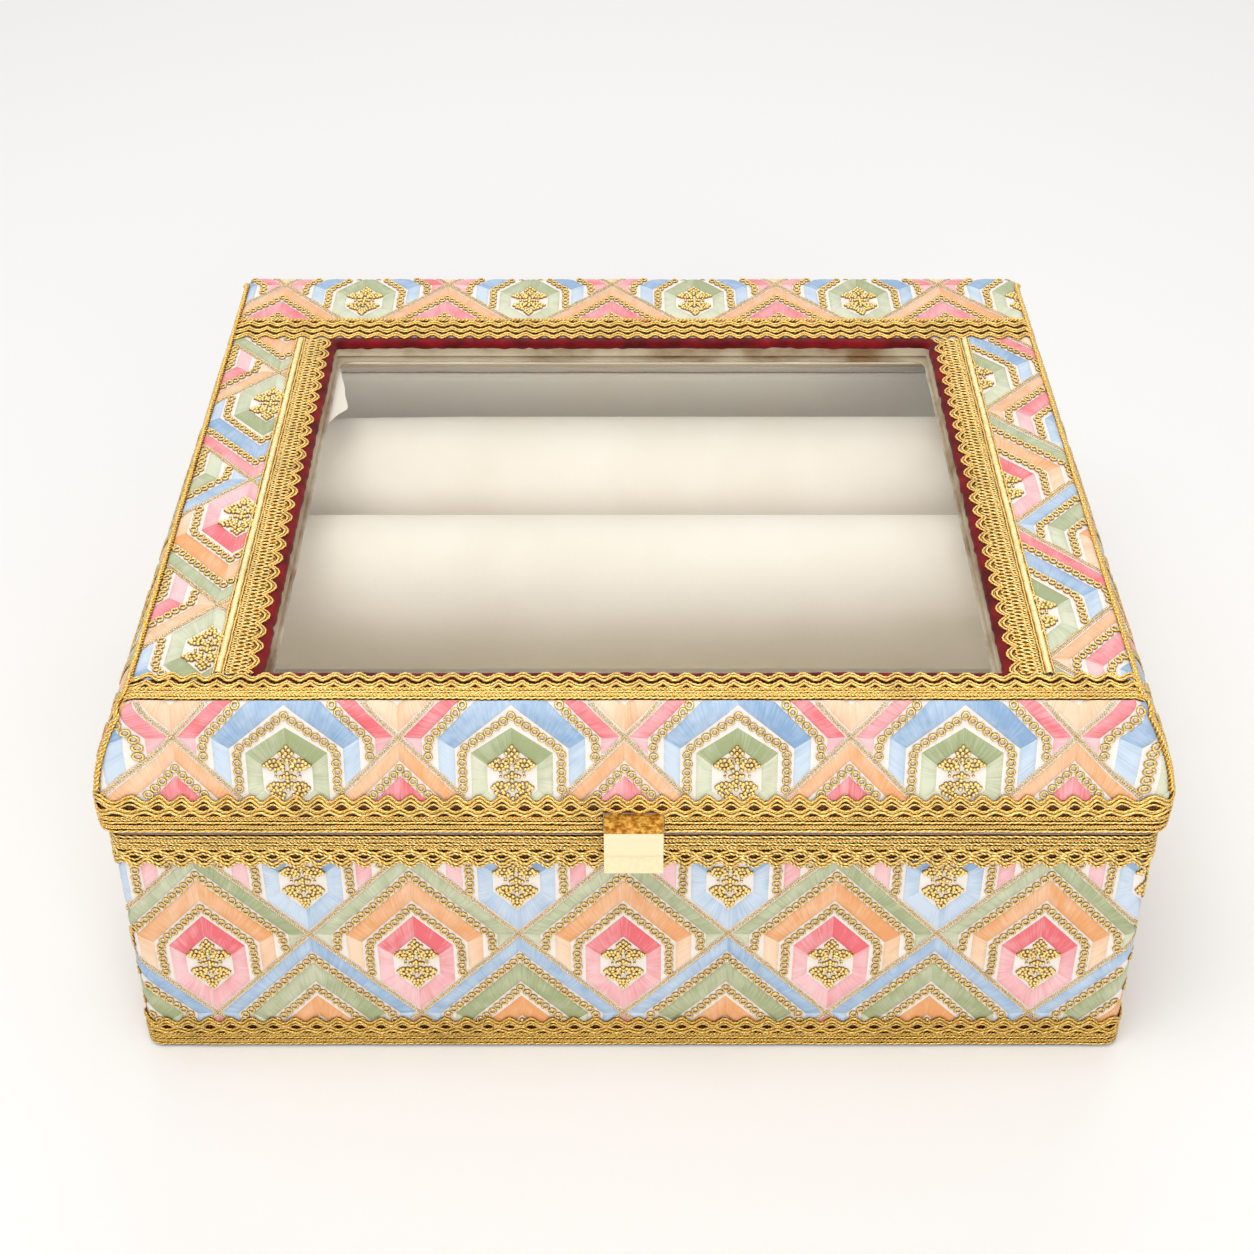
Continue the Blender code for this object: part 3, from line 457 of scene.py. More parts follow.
@dataclass(frozen=True)
class Finish:
    """A surface finish, made into one material."""

    name: str

    def write(self, s: Shading, shader: bpy.types.Node) -> None:
        """Fills the material's tree.

        Args:
            s: the tree's writer.
            shader: its principled shader.
        """
        raise NotImplementedError

    def material(self) -> bpy.types.Material:
        """The finish's material, made the first time it is asked for."""
        found = bpy.data.materials.get(self.name)
        if found is None:
            found = bpy.data.materials.new(self.name)
            found.use_nodes = True
            tree = found.node_tree
            tree.nodes.clear()
            s = Shading(tree)
            shader = s.node("BsdfPrincipled")
            out = s.node("OutputMaterial", {"Surface": shader.outputs[0]})
            out.name = "surface_out"
            self.write(s, shader)
        return found

    @staticmethod
    def dress(s: Shading, shader: bpy.types.Node, look: SharedLook, given: dict[str, Colour | float],
              bump: float, reach: float) -> None:
        """Places a shared look and links it to the shader.

        Args:
            s: the tree's writer.
            shader: the shader that takes the look.
            look: the shared look.
            given: this material's own values for it.
            bump: strength of the relief.
            reach: depth of the relief in millimetres.
        """
        placed = s.node("Group", given, node_tree=look.tree())
        s.tree.links.new(placed.outputs["Colour"], shader.inputs["Base Color"])
        if "Roughness" in placed.outputs:
            s.tree.links.new(placed.outputs["Roughness"], shader.inputs["Roughness"])
        relief = s.node("Bump", {"Strength": bump, "Distance": reach * MM,
                                 "Height": placed.outputs["Height"]})
        s.tree.links.new(relief.outputs[0], shader.inputs["Normal"])

    @staticmethod
    def fix(shader: bpy.types.Node, values: dict[str, Colour | float]) -> None:
        """Sets plain values on a shader."""
        for key, value in values.items():
            shader.inputs[key].default_value = value


@dataclass(frozen=True)
class SilkThread(Finish):
    """Satin stitched thread of one dye."""

    deep: Colour
    pale: Colour
    streak: float = 0.85
    drift: float = 0.8

    def write(self, s: Shading, shader: bpy.types.Node) -> None:
        """Lays the threads and gives them a silk sheen."""
        self.dress(s, shader, SATIN_LOOK, {"Deep": self.deep, "Pale": self.pale, "Streak": self.streak,
                                           "Drift": self.drift}, 0.35, 0.12)
        self.fix(shader, {"Sheen Weight": 0.15, "Specular IOR Level": 0.45})


@dataclass(frozen=True)
class GiltThread(Finish):
    """Metal wrapped thread."""

    # the first colour is painted shade in the gaps, also used for tarnish; the last is the painted highlight
    gap: Colour
    body: Colour
    glint: Colour
    metallic: float = 0.55
    grain: float = 2400.0
    sparkle: float = 1.3

    def write(self, s: Shading, shader: bpy.types.Node) -> None:
        """Lays the metal thread."""
        self.dress(s, shader, GILT_LOOK, {"Gap": self.gap, "Body": self.body, "Glint": self.glint,
                                          "Grain": self.grain, "Sparkle": self.sparkle}, 0.5, 0.08)
        self.fix(shader, {"Metallic": self.metallic})


@dataclass(frozen=True)
class Nap(Finish):
    """Velvet, or a brushed lining cloth."""

    shade: Colour
    nap: Colour
    brushing: float = 40.0
    fibre: float = 1800.0
    sheen: float = 0.4

    def write(self, s: Shading, shader: bpy.types.Node) -> None:
        """Lays the nap."""
        self.dress(s, shader, NAP_LOOK, {"Shade": self.shade, "Nap": self.nap, "Brushing": self.brushing,
                                         "Fibre": self.fibre}, 0.3, 0.2)
        self.fix(shader, {"Roughness": 0.9, "Specular IOR Level": 0.2, "Sheen Weight": self.sheen})


@dataclass(frozen=True)
class Grained(Finish):
    """Card, paper, wood or drawn metal, with a streaked grain."""

    dark: Colour
    light: Colour
    scale: float = 400.0
    fleck: float = 0.5
    roughness: float = 0.8
    metallic: float = 0.0

    def write(self, s: Shading, shader: bpy.types.Node) -> None:
        """Lays the grain."""
        self.dress(s, shader, GRAIN_LOOK, {"Dark": self.dark, "Light": self.light, "Scale": self.scale,
                                           "Fleck": self.fleck}, 0.15, 0.1)
        self.fix(shader, {"Roughness": self.roughness, "Metallic": self.metallic})


@dataclass(frozen=True)
class PressedBrass(Finish):
    """Brass sheet with a pale face: its upward faces carry a painted reflection of the gold lace above,
    hammered, and a painted shade line lies along a soft crease below.
    """

    pale: Colour
    gilt: Colour
    reflected_glint: Colour
    crease: float

    def write(self, s: Shading, shader: bpy.types.Node) -> None:
        """Paints a reflection of the gold lace on the faces that look up, and a painted shade line along the
        crease across the face.
        """
        at = s.node("TexCoord")
        spot = at.outputs["Object"]
        up = s.node("SeparateXYZ", {0: at.outputs["Normal"]}).outputs[2]
        level = s.node("SeparateXYZ", {0: at.outputs["Generated"]}).outputs[2]
        hammered = s.noise(spot, 700.0, 2.0)
        # painted shade: a darker, wavy line along the crease, mixed towards the gilt colour
        bend = s.around_zero(s.noise(spot, 90.0, 1.0), 0.12)
        away = s.math("ABSOLUTE", s.math("SUBTRACT", s.math("ADD", level, bend), self.crease))
        line = s.ramp(away, ((0.0, 0.14), (0.06, 0.0)))
        # painted reflection: hammered gold with glints, on the faces that look up
        painted_reflection = s.mix(s.ramp(hammered, ((0.4, 0.0), (0.62, 1.0))), self.gilt, self.reflected_glint)
        face = s.mix(line, self.pale, self.gilt)
        reflection_share = s.ramp(up, ((0.15, 0.0), (0.5, 1.0)))
        s.tree.links.new(s.mix(reflection_share, face, painted_reflection), shader.inputs["Base Color"])
        relief = s.node("Bump", {"Height": s.math("ADD", hammered, s.math("MULTIPLY", line, -3.0)),
                                 "Strength": 0.25, "Distance": 0.0002})
        s.tree.links.new(relief.outputs[0], shader.inputs["Normal"])
        self.fix(shader, {"Metallic": 0.6, "Roughness": 0.32})


@dataclass(frozen=True)
class ClearGlass(Finish):
    """Float glass that lets the lamps' light through to what lies under it."""

    def write(self, s: Shading, shader: bpy.types.Node) -> None:
        """Makes glass, which shadow and diffuse rays pass straight through."""
        smear = s.noise(s.spot(), 18.0, 3.0)
        s.tree.links.new(s.ramp(smear, ((0.45, 0.0), (0.8, 0.05))), shader.inputs["Roughness"])
        self.fix(shader, {"Base Color": paint(255, 255, 254), "Transmission Weight": 1.0, "IOR": 1.45})
        clear = s.node("BsdfTransparent", {"Color": paint(255, 255, 254)})
        mixed = s.node("MixShader", {0: s.ray("Shadow", "Diffuse"), 1: shader.outputs[0],
                                     2: clear.outputs[0]})
        s.tree.links.new(mixed.outputs[0], s.tree.nodes["surface_out"].inputs["Surface"])


@dataclass(frozen=True)
class GlazingTape(Finish):
    """Aged cloth tape with glue, a little see-through."""

    clean: Colour
    stained: Colour

    def write(self, s: Shading, shader: bpy.types.Node) -> None:
        """Stains the tape unevenly."""
        stain = s.noise(s.spot(), 55.0, 4.0)
        s.tree.links.new(s.mix(s.ramp(stain, ((0.42, 0.0), (0.68, 1.0))), self.clean, self.stained),
                         shader.inputs["Base Color"])
        s.tree.links.new(s.ramp(stain, ((0.3, 0.62), (0.7, 0.9))), shader.inputs["Alpha"])
        self.fix(shader, {"Roughness": 0.55})


class Palette:
    """Every finish on the box."""

    # Silks: the pale colour is painted sheen, the deep colour the dye where no sheen is painted.
    PINK = SilkThread("pink_silk", paint(240, 106, 114), paint(253, 206, 208))
    GREEN = SilkThread("green_silk", paint(162, 172, 124), paint(224, 227, 198))
    PEACH = SilkThread("peach_silk", paint(240, 166, 102), paint(255, 222, 190))
    BLUE = SilkThread("blue_silk", paint(138, 172, 208), paint(212, 227, 242))
    GROUND = SilkThread("ground_satin", paint(240, 226, 212), paint(254, 247, 239), 0.3, 0.5)
    # Gilt finishes: colours from painted shade in the gaps, through the body, to a painted highlight.
    GOLD = GiltThread("gold_thread", paint(92, 56, 8), paint(184, 134, 50), paint(252, 228, 150),
                      0.45, 2400.0, 1.0)
    STITCH = GiltThread("gold_stitching", paint(112, 72, 22), paint(188, 142, 68), paint(250, 224, 156), 0.35)
    LACE = GiltThread("gold_lace_cord", paint(70, 36, 2), paint(234, 174, 48), paint(255, 248, 186),
                      0.5, 2400.0, 0.75)
    # painted shade: a darker copy of the lace cord for the foot lace, standing in for the shade near the
    # floor
    SHADED_FOOT_LACE = GiltThread("gold_foot_lace_cord", paint(58, 28, 0), paint(208, 150, 34), paint(252, 236, 156),
                           0.5, 2400.0, 0.75)
    SATIN_CORD = GiltThread("gold_satin_cord", paint(176, 128, 40), paint(240, 206, 116),
                            paint(255, 248, 196), 0.3, 900.0, 0.6)
    PAD = Nap("cream_roll_velvet", paint(236, 227, 211), paint(246, 238, 226), 26.0, 2600.0, 0.15)
    LINING = Nap("cream_lining", paint(255, 244, 222), paint(255, 250, 236), 30.0, 2200.0, 0.1)
    FLOOR_NAP = Nap("cream_floor_velvet", paint(250, 236, 208), paint(255, 246, 224), 30.0, 2400.0, 0.15)
    RED = Nap("crimson_velvet_nap", paint(76, 3, 7), paint(146, 18, 26), 160.0, 2600.0, 0.08)
    BOARD = Grained("grey_board_card", paint(150, 144, 134), paint(178, 172, 162), 300.0, 0.8, 0.9)
    PAPER = Grained("black_underside_paper", paint(22, 21, 22), paint(44, 43, 44), 220.0, 0.8, 0.75)
    BEECH = Grained("beech_wood", paint(196, 156, 112), paint(226, 192, 150), 500.0, 0.3, 0.6)
    BRASS = Grained("drawn_pale_brass", paint(232, 204, 138), paint(255, 244, 200), 900.0, 0.2, 0.3, 0.7)
    # clasp: the pale face colour is the brass's own; the gilt and glint colours paint the reflection of the
    # gold lace on its upward faces, and the gilt also paints the shade line at the crease
    CLASP = PressedBrass("clasp_brass", paint(255, 243, 202), paint(176, 116, 20), paint(255, 214, 112), 0.41)
    GLASS = ClearGlass("window_float_glass")
    TAPE = GlazingTape("aged_glazing_tape", paint(220, 203, 172), paint(134, 98, 54))


class Side(Enum):
    """A side of the box, with its place round the outline."""

    FRONT = 0
    RIGHT = 1
    BACK = 2
    LEFT = 3


def ripple(points: Array) -> Array:
    """How far the glued cloth stands off evenly, in millimetres, at points of the box."""
    x, y, z = points.T
    wave = np.sin(x * 0.23 + 1.7 * np.sin(z * 0.11 + y * 0.05)) + np.sin(y * 0.21 + 1.3 * np.sin(x * 0.07))
    return 0.05 * (wave + np.sin(z * 0.31 + x * 0.09) + 1.0)


class Shell:
    """A rounded box outside, walked round by s and up over its ridge by w.

    s is measured on the outline at w 0, from the middle of the front to the right, and w
    is measured up the wall, over the ridge and inward on the top.
    """

    arc_steps = 24
    swell_zone = 14.0

    def __init__(self, half: tuple[float, float], radius: float, profile: Array, swell: float = 0.0) -> None:
        """Lays out the outline.

        Args:
            half: half the width and half the depth at w 0.
            radius: the corner radius.
            profile: rows of w, inset, inset at the back, height, corner radius and tilt of
                the outward direction in radians.
            swell: how far the padding fills the side walls at half their height.
        """
        self.half = np.array(half)
        self.swell = swell
        self.radius = radius
        self.w, self.inset, self.back, self.z, self.turn, self.tilt = profile.T
        angles, cores = [], []
        for side in Side:
            lean = -math.pi / 2 + side.value * math.pi / 2
            first = ((-1, -1), (1, -1), (1, 1), (-1, 1))[side.value]
            last = ((1, -1), (1, 1), (-1, 1), (-1, -1))[side.value]
            for angle in np.linspace(lean - math.pi / 4, lean, self.arc_steps)[:-1]:
                angles.append(angle)
                cores.append(first)
            angles += [lean, lean]
            cores += [first, last]
            for angle in np.linspace(lean, lean + math.pi / 4, self.arc_steps)[1:-1]:
                angles.append(angle)
                cores.append(last)
        core = np.array(cores, float)
        normal = np.stack([np.cos(angles), np.sin(angles)], 1)
        core, normal = np.vstack([core, core[:1]]), np.vstack([normal, normal[:1]])
        points = core * (self.half - radius) + radius * normal
        walk = walked(points)
        self.perimeter = float(walk[-1])
        middle = self.half[0] - radius + radius * math.pi / 4
        self.walk, self.core, self.normal = walk - middle, core, normal
        self.mid_corner = middle

    def place(self, s: Array, w: Array, h: Array) -> Array:
        """Points that stand h off the cloth.

        Args:
            s: distances round the outline.
            w: distances up the profile.
            h: heights off the surface.

        Returns:
            Rows of x, y and z.
        """
        s, w, h = np.broadcast_arrays(np.asarray(s, float), np.asarray(w, float), np.asarray(h, float))
        low = self.walk[0]
        round_s = (s - low) % self.perimeter + low
        core, normal = (read_off(round_s, self.walk, known) for known in (self.core, self.normal))
        normal /= np.linalg.norm(normal, axis=-1, keepdims=True)
        inset, back, z, radius, tilt = (
            np.interp(w, self.w, v) for v in (self.inset, self.back, self.z, self.turn, self.tilt))
        drawn = np.stack([inset, (inset + back) / 2], -1)
        flat = core * (self.half - drawn - radius[..., None]) + radius[..., None] * normal
        flat[..., 1] += (inset - back) / 2
        points = np.concatenate([flat, z[..., None]], -1)
        out = np.concatenate([normal * np.cos(tilt)[..., None], np.sin(tilt)[..., None]], -1)
        bump = ripple(points.reshape(-1, 3)).reshape(h.shape)
        return self.swollen(points + out * (h + bump)[..., None])

    def swollen(self, points: Array) -> Array:
        """Points moved out to the left and right where padding fills the side walls."""
        share = np.clip((points[..., 2] - self.z[0]) / (self.z[-2] - self.z[0]), 0, 1) if self.swell else 0
        edge = self.half[0] - np.interp(points[..., 2], self.z[:-1], self.inset[:-1])
        near = np.clip(1 - (edge - np.abs(points[..., 0])) / self.swell_zone, 0, 1)
        full = self.swell * (0.7 - 0.3 * points[..., 1] / self.half[1])
        moved = points.copy()
        out = np.sign(points[..., 0]) * full * np.sin(math.pi * share) ** 0.8
        moved[..., 0] += out * near ** 2 * (3 - 2 * near)
        return moved

    def side_middle(self, side: Side) -> float:
        """The place of a side's middle round the outline."""
        quarter = self.half.sum() - 2 * self.radius + self.radius * math.pi / 2
        return side.value * quarter

    def straight(self, side: Side, w: Array) -> tuple[Array, Array]:
        """Half the straight length of a side at w, and the corner radius there."""
        inset, radius = np.interp(w, self.w, self.inset), np.interp(w, self.w, self.turn)
        if side in (Side.LEFT, Side.RIGHT):
            inset = (inset + np.interp(w, self.w, self.back)) / 2
        return self.half[side.value % 2] - inset - radius, radius

    def reach(self, side: Side, w: Array) -> Array:
        """How far a side runs from its middle to the middle of its corner, at w."""
        straight, radius = self.straight(side, w)
        return straight + radius * math.pi / 4

    def ends(self, side: Side) -> Reach:
        """Both ends of a side at any w, measured from its middle."""

        def reach(w: Array) -> tuple[Array, Array]:
            """Both ends at w."""
            return -self.reach(side, w), self.reach(side, w)

        return reach

    def start_at(self, start: float, way: int = 1) -> Place:
        """A placing whose w starts at a height and runs up, or down where way is -1."""

        def place(s: Array, w: Array, h: Array) -> Array:
            """Points that stand h off the cloth."""
            return self.place(s, start + way * w, h)

        return place

    def on_side(self, side: Side) -> Place:
        """A placing that keeps distances along one side true at every height."""
        half = self.half[side.value % 2]

        def place(u: Array, w: Array, h: Array) -> Array:
            """Points that stand h off the cloth, u from the side's middle."""
            straight, radius = self.straight(side, w)
            over = np.abs(u) - straight
            bent = np.sign(u) * (half - self.radius + over * self.radius / radius)
            s = np.where(over <= 0, u * (half - self.radius) / straight, bent)
            return self.place(s + self.side_middle(side), w, h)

        return place


@dataclass(frozen=True)
class LidShape:
    """The lid's outside, as the CAD has it."""

    half: tuple[float, float]
    seam: float
    top: float
    lean: float = 9.2
    back_lean: float = 2.9
    radius: float = 4.0
    ridge: float = 2.5
    least: float = 0.6
    ridge_steps: int = 10
    run_in: float = 60.0

    def inset_at(self, height: float, back: bool = False) -> float:
        """How far the wall has leant in at a height."""
        return (self.back_lean if back else self.lean) * (height - self.seam) / (self.top - self.seam)

    def profile(self) -> Array:
        """Rows of w, both insets, height, corner radius and tilt, up the wall and over the ridge."""
        tilt = math.atan2(self.lean, self.top - self.seam)
        rows = [(0.0, 0.0, self.seam, self.radius, tilt)]
        for angle in np.linspace(0, math.pi / 2, self.ridge_steps + 1):
            height = self.top - self.ridge + self.ridge * math.sin(angle)
            drawn = self.ridge * (1 - math.cos(angle))
            way = tilt + (math.pi / 2 - tilt) * angle / (math.pi / 2)
            rows.append((self.inset_at(height) + drawn, self.inset_at(height, True) + drawn, height,
                         max(self.radius - drawn, self.least), way))
        last = rows[-1]
        rows.append((last[0] + self.run_in, last[1] + self.run_in, last[2], self.least, math.pi / 2))
        data = np.array(rows)
        return np.column_stack([walked(data[:, [0, 2]]), data])


class TopFace:
    """The lid's top, laid out by x and y and running down over its rounded ridges."""

    def __init__(self, shell: Shell) -> None:
        """Takes the lid's shell."""
        self.shell = shell
        self.edge = float(shell.w[-2])
        self.flat = shell.half - shell.inset[-2]
        self.back = float(shell.half[1] - shell.back[-2])
        self.over = self.edge - float(shell.w[1])

    def place(self, x: Array, y: Array, h: Array) -> Array:
        """Points at x and y, measured along the cloth, that stand h off it."""
        shell = self.shell
        spots, drops, leans = [], [], []
        behind = y > 0
        for value, half, flat, drawn in (
            (x, shell.half[0], self.flat[0], shell.inset),
            (y, shell.half[1], np.where(behind, self.back, self.flat[1]), shell.inset),
        ):
            over = np.maximum(np.abs(value) - flat, 0)
            w = self.edge - over
            along = np.where(over > 0, half - np.interp(w, shell.w, drawn), np.abs(value))
            if value is y:
                along = np.where((over > 0) & behind, half - np.interp(w, shell.w, shell.back), along)
            spots.append(np.sign(value) * along)
            drops.append(shell.z[-2] - np.interp(w, shell.w, shell.z))
            leans.append(np.sign(value) * np.cos(np.interp(w, shell.w, shell.tilt)))
        points = np.stack([spots[0], spots[1], shell.z[-2] - drops[0] - drops[1]], -1)
        rise = np.sqrt(np.maximum(1 - leans[0] ** 2 - leans[1] ** 2, 0.02))
        out = np.stack([leans[0], leans[1], rise], -1)
        out /= np.linalg.norm(out, axis=-1, keepdims=True)
        bump = ripple(points.reshape(-1, 3)).reshape(points.shape[:-1])
        return shell.swollen(points + out * (h + bump)[..., None])


@dataclass(frozen=True)
class Band:
    """A satin stitched band: the right half's outer and inner line, from the apex down.

    light gives the painted sheen at both ends of each straight stretch: how pale the thread is painted there,
    as it would catch the light.
    """

    outer: tuple[tuple[float, float], ...]
    inner: tuple[tuple[float, float], ...]
    light: tuple[tuple[float, float], ...]


@dataclass(frozen=True)
class Cell:
    """One diamond of the pattern, about its middle, with its apex up."""

    half_width: float = 31.1
    half_height: float = 33.9
    # the last tuple of each band holds its painted sheen, deep on the slants and pale on the upright and
    # lower stretches
    bands: tuple[Band, ...] = (
        Band(((0, 32.4), (29.7, 0), (29.2, -0.55)), ((0, 26.5), (24.7, -0.4), (24.7, -5.5)),
             ((0.42, 0.3), (0.8, 0.8))),
        Band(((0, 21.7), (20.3, -0.4), (20.3, -10.3)), ((0, 13.5), (15.7, -3.6), (15.7, -15.3)),
             ((0.4, 0.1), (0.75, 0.95))),
        Band(((0, 7.3), (11.3, -5.0), (11.3, -20.1), (0, -32.4)),
             ((0, -1.3), (6.9, -8.8), (6.9, -16.8), (0, -24.3)), ((0.08, 0.12), (0.75, 0.92), (0.88, 0.82))),
    )
    chains: tuple[tuple[tuple[float, float], ...], ...] = (
        ((0, 24.1), (23.1, -1.1), (23.1, -6.0)),
        ((0, 10.9), (13.7, -4.0), (13.7, -16.3)),
    )
    chain_pitch: float = 2.78


def flatter_cell() -> Cell:
    """The cell as it is worked on the lid's walls, with its inner apexes drawn down."""
    cell = Cell()
    outer, middle, inner = cell.bands
    return replace(
        cell,
        bands=(outer, replace(middle, inner=((0, 9.8), *middle.inner[1:])),
               replace(inner, outer=((0, 2.9), *inner.outer[1:]), inner=((0, -3.0), *inner.inner[1:]))),
        chains=(cell.chains[0], ((0, 6.7), *cell.chains[1][1:])),
    )


class Dye(Enum):
    """The four silks, numbered as their material slots."""

    PINK = 0
    GREEN = 1
    PEACH = 2
    BLUE = 3


CYCLE = (
    (Dye.BLUE, Dye.GREEN, Dye.PEACH),
    (Dye.PINK, Dye.BLUE, Dye.GREEN),
    (Dye.PEACH, Dye.PINK, Dye.BLUE),
    (Dye.GREEN, Dye.PEACH, Dye.PINK),
)


@dataclass(frozen=True)
class Panel:
    """A stretch of embroidered cloth, and how the pattern lies on it.

    middle is where a cell has its middle, cycle is that cell's colours, and turn is how
    far the apexes are turned from up, in degrees, anticlockwise.
    """

    name: str
    place: Place
    low: float
    high: float
    reach: Reach
    middle: tuple[float, float]
    cycle: int
    turn: float = 0.0
    stretch: float = 1.0
    seed: int = 0
    cell: Cell = Cell()

    def turning(self) -> Array:
        """The matrix that turns rows of pattern coordinates onto the panel."""
        c, s = math.cos(math.radians(self.turn)), math.sin(math.radians(self.turn))
        return np.array([[c, s], [-s, c]])

    def cells(self, cell: Cell) -> tuple[Array, Array]:
        """Middles of the cells that touch the panel, and their place in the colour cycle."""
        left, right = self.reach(np.array([self.low, self.high]))
        corners = np.array([[left.min(), self.low], [left.min(), self.high],
                            [right.max(), self.low], [right.max(), self.high]])
        rows = (corners - self.middle) @ self.turning().T
        pitch_x, pitch_y = cell.half_width * self.stretch, cell.half_height
        spots, cycles = [], []
        low, high = rows.min(0), rows.max(0)
        for j in range(math.floor(low[1] / pitch_y) - 1, math.ceil(high[1] / pitch_y) + 2):
            for i in range(math.floor(low[0] / pitch_x) - 1, math.ceil(high[0] / pitch_x) + 2):
                if (i + j) % 2 == 0:
                    spots.append((i * pitch_x, j * pitch_y))
                    cycles.append((self.cycle - j) % len(CYCLE))
        return np.array(spots), np.array(cycles)

    def lay(self, local: Array) -> Array:
        """Pattern coordinates as the panel's own."""
        return local @ self.turning() + np.array(self.middle)

    def inside(self, flat: Array, margin: float = 0.0) -> Array:
        """Which points lie on the panel, at least a margin from its edge."""
        left, right = self.reach(flat[..., 1])
        kept = (flat[..., 0] > left + margin) & (flat[..., 0] < right - margin)
        return kept & (flat[..., 1] > self.low + margin) & (flat[..., 1] < self.high - margin)

    def clamp(self, flat: Array) -> Array:
        """Points drawn in to the panel's edge."""
        w = np.clip(flat[..., 1], self.low, self.high)
        left, right = self.reach(w)
        return np.stack([np.clip(flat[..., 0], left, right), w], -1)


class Embroidery:
    """The satin bands, ring chains, stitched lines and flowers of a panel."""

    step = 1.25
    crown = 0.34
    chain_ring = (0.98, 0.38)
    stitch_pitch = 0.74
    stitch_size = (0.95, 0.17)
    across = (0.0, 0.07, 0.26, 0.5, 0.74, 0.93, 1.0)
    dome = (-0.16, 0.5, 0.88, 1.0, 0.88, 0.5, -0.16)

    def __init__(self, panel: Panel) -> None:
        """Takes the panel to work on."""
        self.panel = panel
        self.cell = panel.cell
        self.spots, self.cycles = panel.cells(self.cell)
        self.rng = np.random.default_rng(SEED + panel.seed)

    def add(self, draft: MeshDraft, flat: Array, height: Array, faces: Array, thread: Array,
            slot: int = 0) -> None:
        """Clips a form to the panel and lays it on the cloth."""
        held = self.panel.clamp(flat)
        moved = np.abs(held - flat).sum(1)
        gone = moved[faces].min(1) > 0
        spread = np.ptp(held[faces], axis=1).sum(1)
        kept = faces[~gone & (spread > 1e-6)]
        if not len(kept):
            return
        used, index = np.unique(kept, return_inverse=True)
        points = self.panel.place(held[used, 0], held[used, 1], height[used])
        draft.add(points, index.reshape(kept.shape), thread[used], slot)

    def satin(self, name: str) -> bpy.types.Object:
        """Makes the satin stitched bands."""
        draft = MeshDraft()
        for place, band in enumerate(self.cell.bands):
            for dye in Dye:
                chosen = [k for k, row in enumerate(CYCLE) if row[place] is dye]
                spots = self.spots[np.isin(self.cycles, chosen)]
                if len(spots):
                    for mirror in (-1, 1):
                        for k in range(len(band.outer) - 1):
                            self.segment(draft, band, k, mirror, spots, dye.value)
        silks = [d.material() for d in (Palette.PINK, Palette.GREEN, Palette.PEACH, Palette.BLUE)]
        return draft.piece(name, silks)

    def segment(self, draft: MeshDraft, band: Band, k: int, mirror: int, spots: Array, slot: int) -> None:
        """Lays one straight stretch of a band in every cell that has its dye.

        Args:
            draft: where it goes.
            band: the band.
            k: the stretch's number.
            mirror: 1 for the right half, -1 for the left.
            spots: the middles of the cells.
            slot: the dye's material slot.
        """
        outer, inner = np.array(band.outer[k:k + 2], float), np.array(band.inner[k:k + 2], float)
        length = max(np.linalg.norm(outer[1] - outer[0]), np.linalg.norm(inner[1] - inner[0]))
        count = max(2, round(length / self.step))
        s = np.concatenate([[0, 0.3 / length], np.linspace(0, 1, count + 1)[1:-1], [1 - 0.3 / length, 1]])
        t = np.array(self.across)
        line = inner[0] + (inner[1] - inner[0]) * s[:, None], outer[0] + (outer[1] - outer[0]) * s[:, None]
        flat = line[0][:, None] + (line[1] - line[0])[:, None] * t[None, :, None]
        flat[..., 0] *= mirror
        pinch = 1 - 0.45 * np.exp(-(np.minimum(s, 1 - s) * length / 0.5) ** 2)
        height = 0.06 + self.crown * pinch[:, None] * np.array(self.dome)[None]
        width = np.linalg.norm(outer[0] - inner[0])
        # painted sheen: how pale each stretch is painted, the left half a little paler than the right, as the
        # light would fall on them
        light = np.interp(s, (0, 1), band.light[k]) - 0.07 * mirror
        thread = together((s * length)[:, None], (t * width)[None], light[:, None]).reshape(-1, 3)
        copies = len(spots)
        whole = flat.reshape(1, -1, 2) * (self.panel.stretch, 1) + spots[:, None]
        jitter = self.rng.uniform((0, 0, -0.16), (900, 90, 0.16), (copies, 3))
        threads = thread[None] + jitter[:, None]
        data = np.concatenate([whole, np.broadcast_to(height.reshape(1, -1, 1), (copies, height.size, 1)),
                               threads], -1)
        faces = grid_faces(len(s), len(t))
        rows, faces = many(data, faces[:, ::-1] if mirror > 0 else faces)
        self.add(draft, self.panel.lay(rows[:, :2]), rows[:, 2], faces, rows[:, 3:], slot)

    def scatter(self, draft: MeshDraft, form: tuple[Array, Array], local: Array, turns: Array,
                scale: Array | float = 1.0, margin: float = 0.0) -> None:
        """Lays copies of a small form on the cloth.

        Args:
            draft: where they go.
            form: the form's points, with their height, and its faces.
            local: where they lie, in the pattern's coordinates.
            turns: how far each is turned, in radians.
            scale: the size of each.
            margin: how far from the panel's edge they stop.
        """
        points, faces = form
        flat = self.panel.lay(local)
        kept = self.panel.inside(flat, margin)
        flat, turns = flat[kept], turns[kept] + math.radians(self.panel.turn)
        size = np.broadcast_to(scale, kept.shape)[kept][:, None, None]
        if not len(flat):
            return
        c, s = np.cos(turns)[:, None], np.sin(turns)[:, None]
        x, y, z = points.T
        moved = np.stack([c * x - s * y, s * x + c * y, np.broadcast_to(z, (len(flat), len(z)))], -1) * size
        moved[..., :2] += flat[:, None]
        top = points[:, 2].max()
        # painted light: each small form is painted lighter at its top and darker at its foot
        painted_height_light = np.clip(moved[..., 2] / top, 0, 1)
        phase = np.broadcast_to(self.rng.uniform(0, 50, (len(flat), 1)), painted_height_light.shape)
        rows, all_faces = many(np.concatenate([moved, np.stack([phase, phase, painted_height_light], -1)], -1), faces)
        draft.add(self.panel.place(rows[:, 0], rows[:, 1], rows[:, 2]), all_faces, rows[:, 3:])

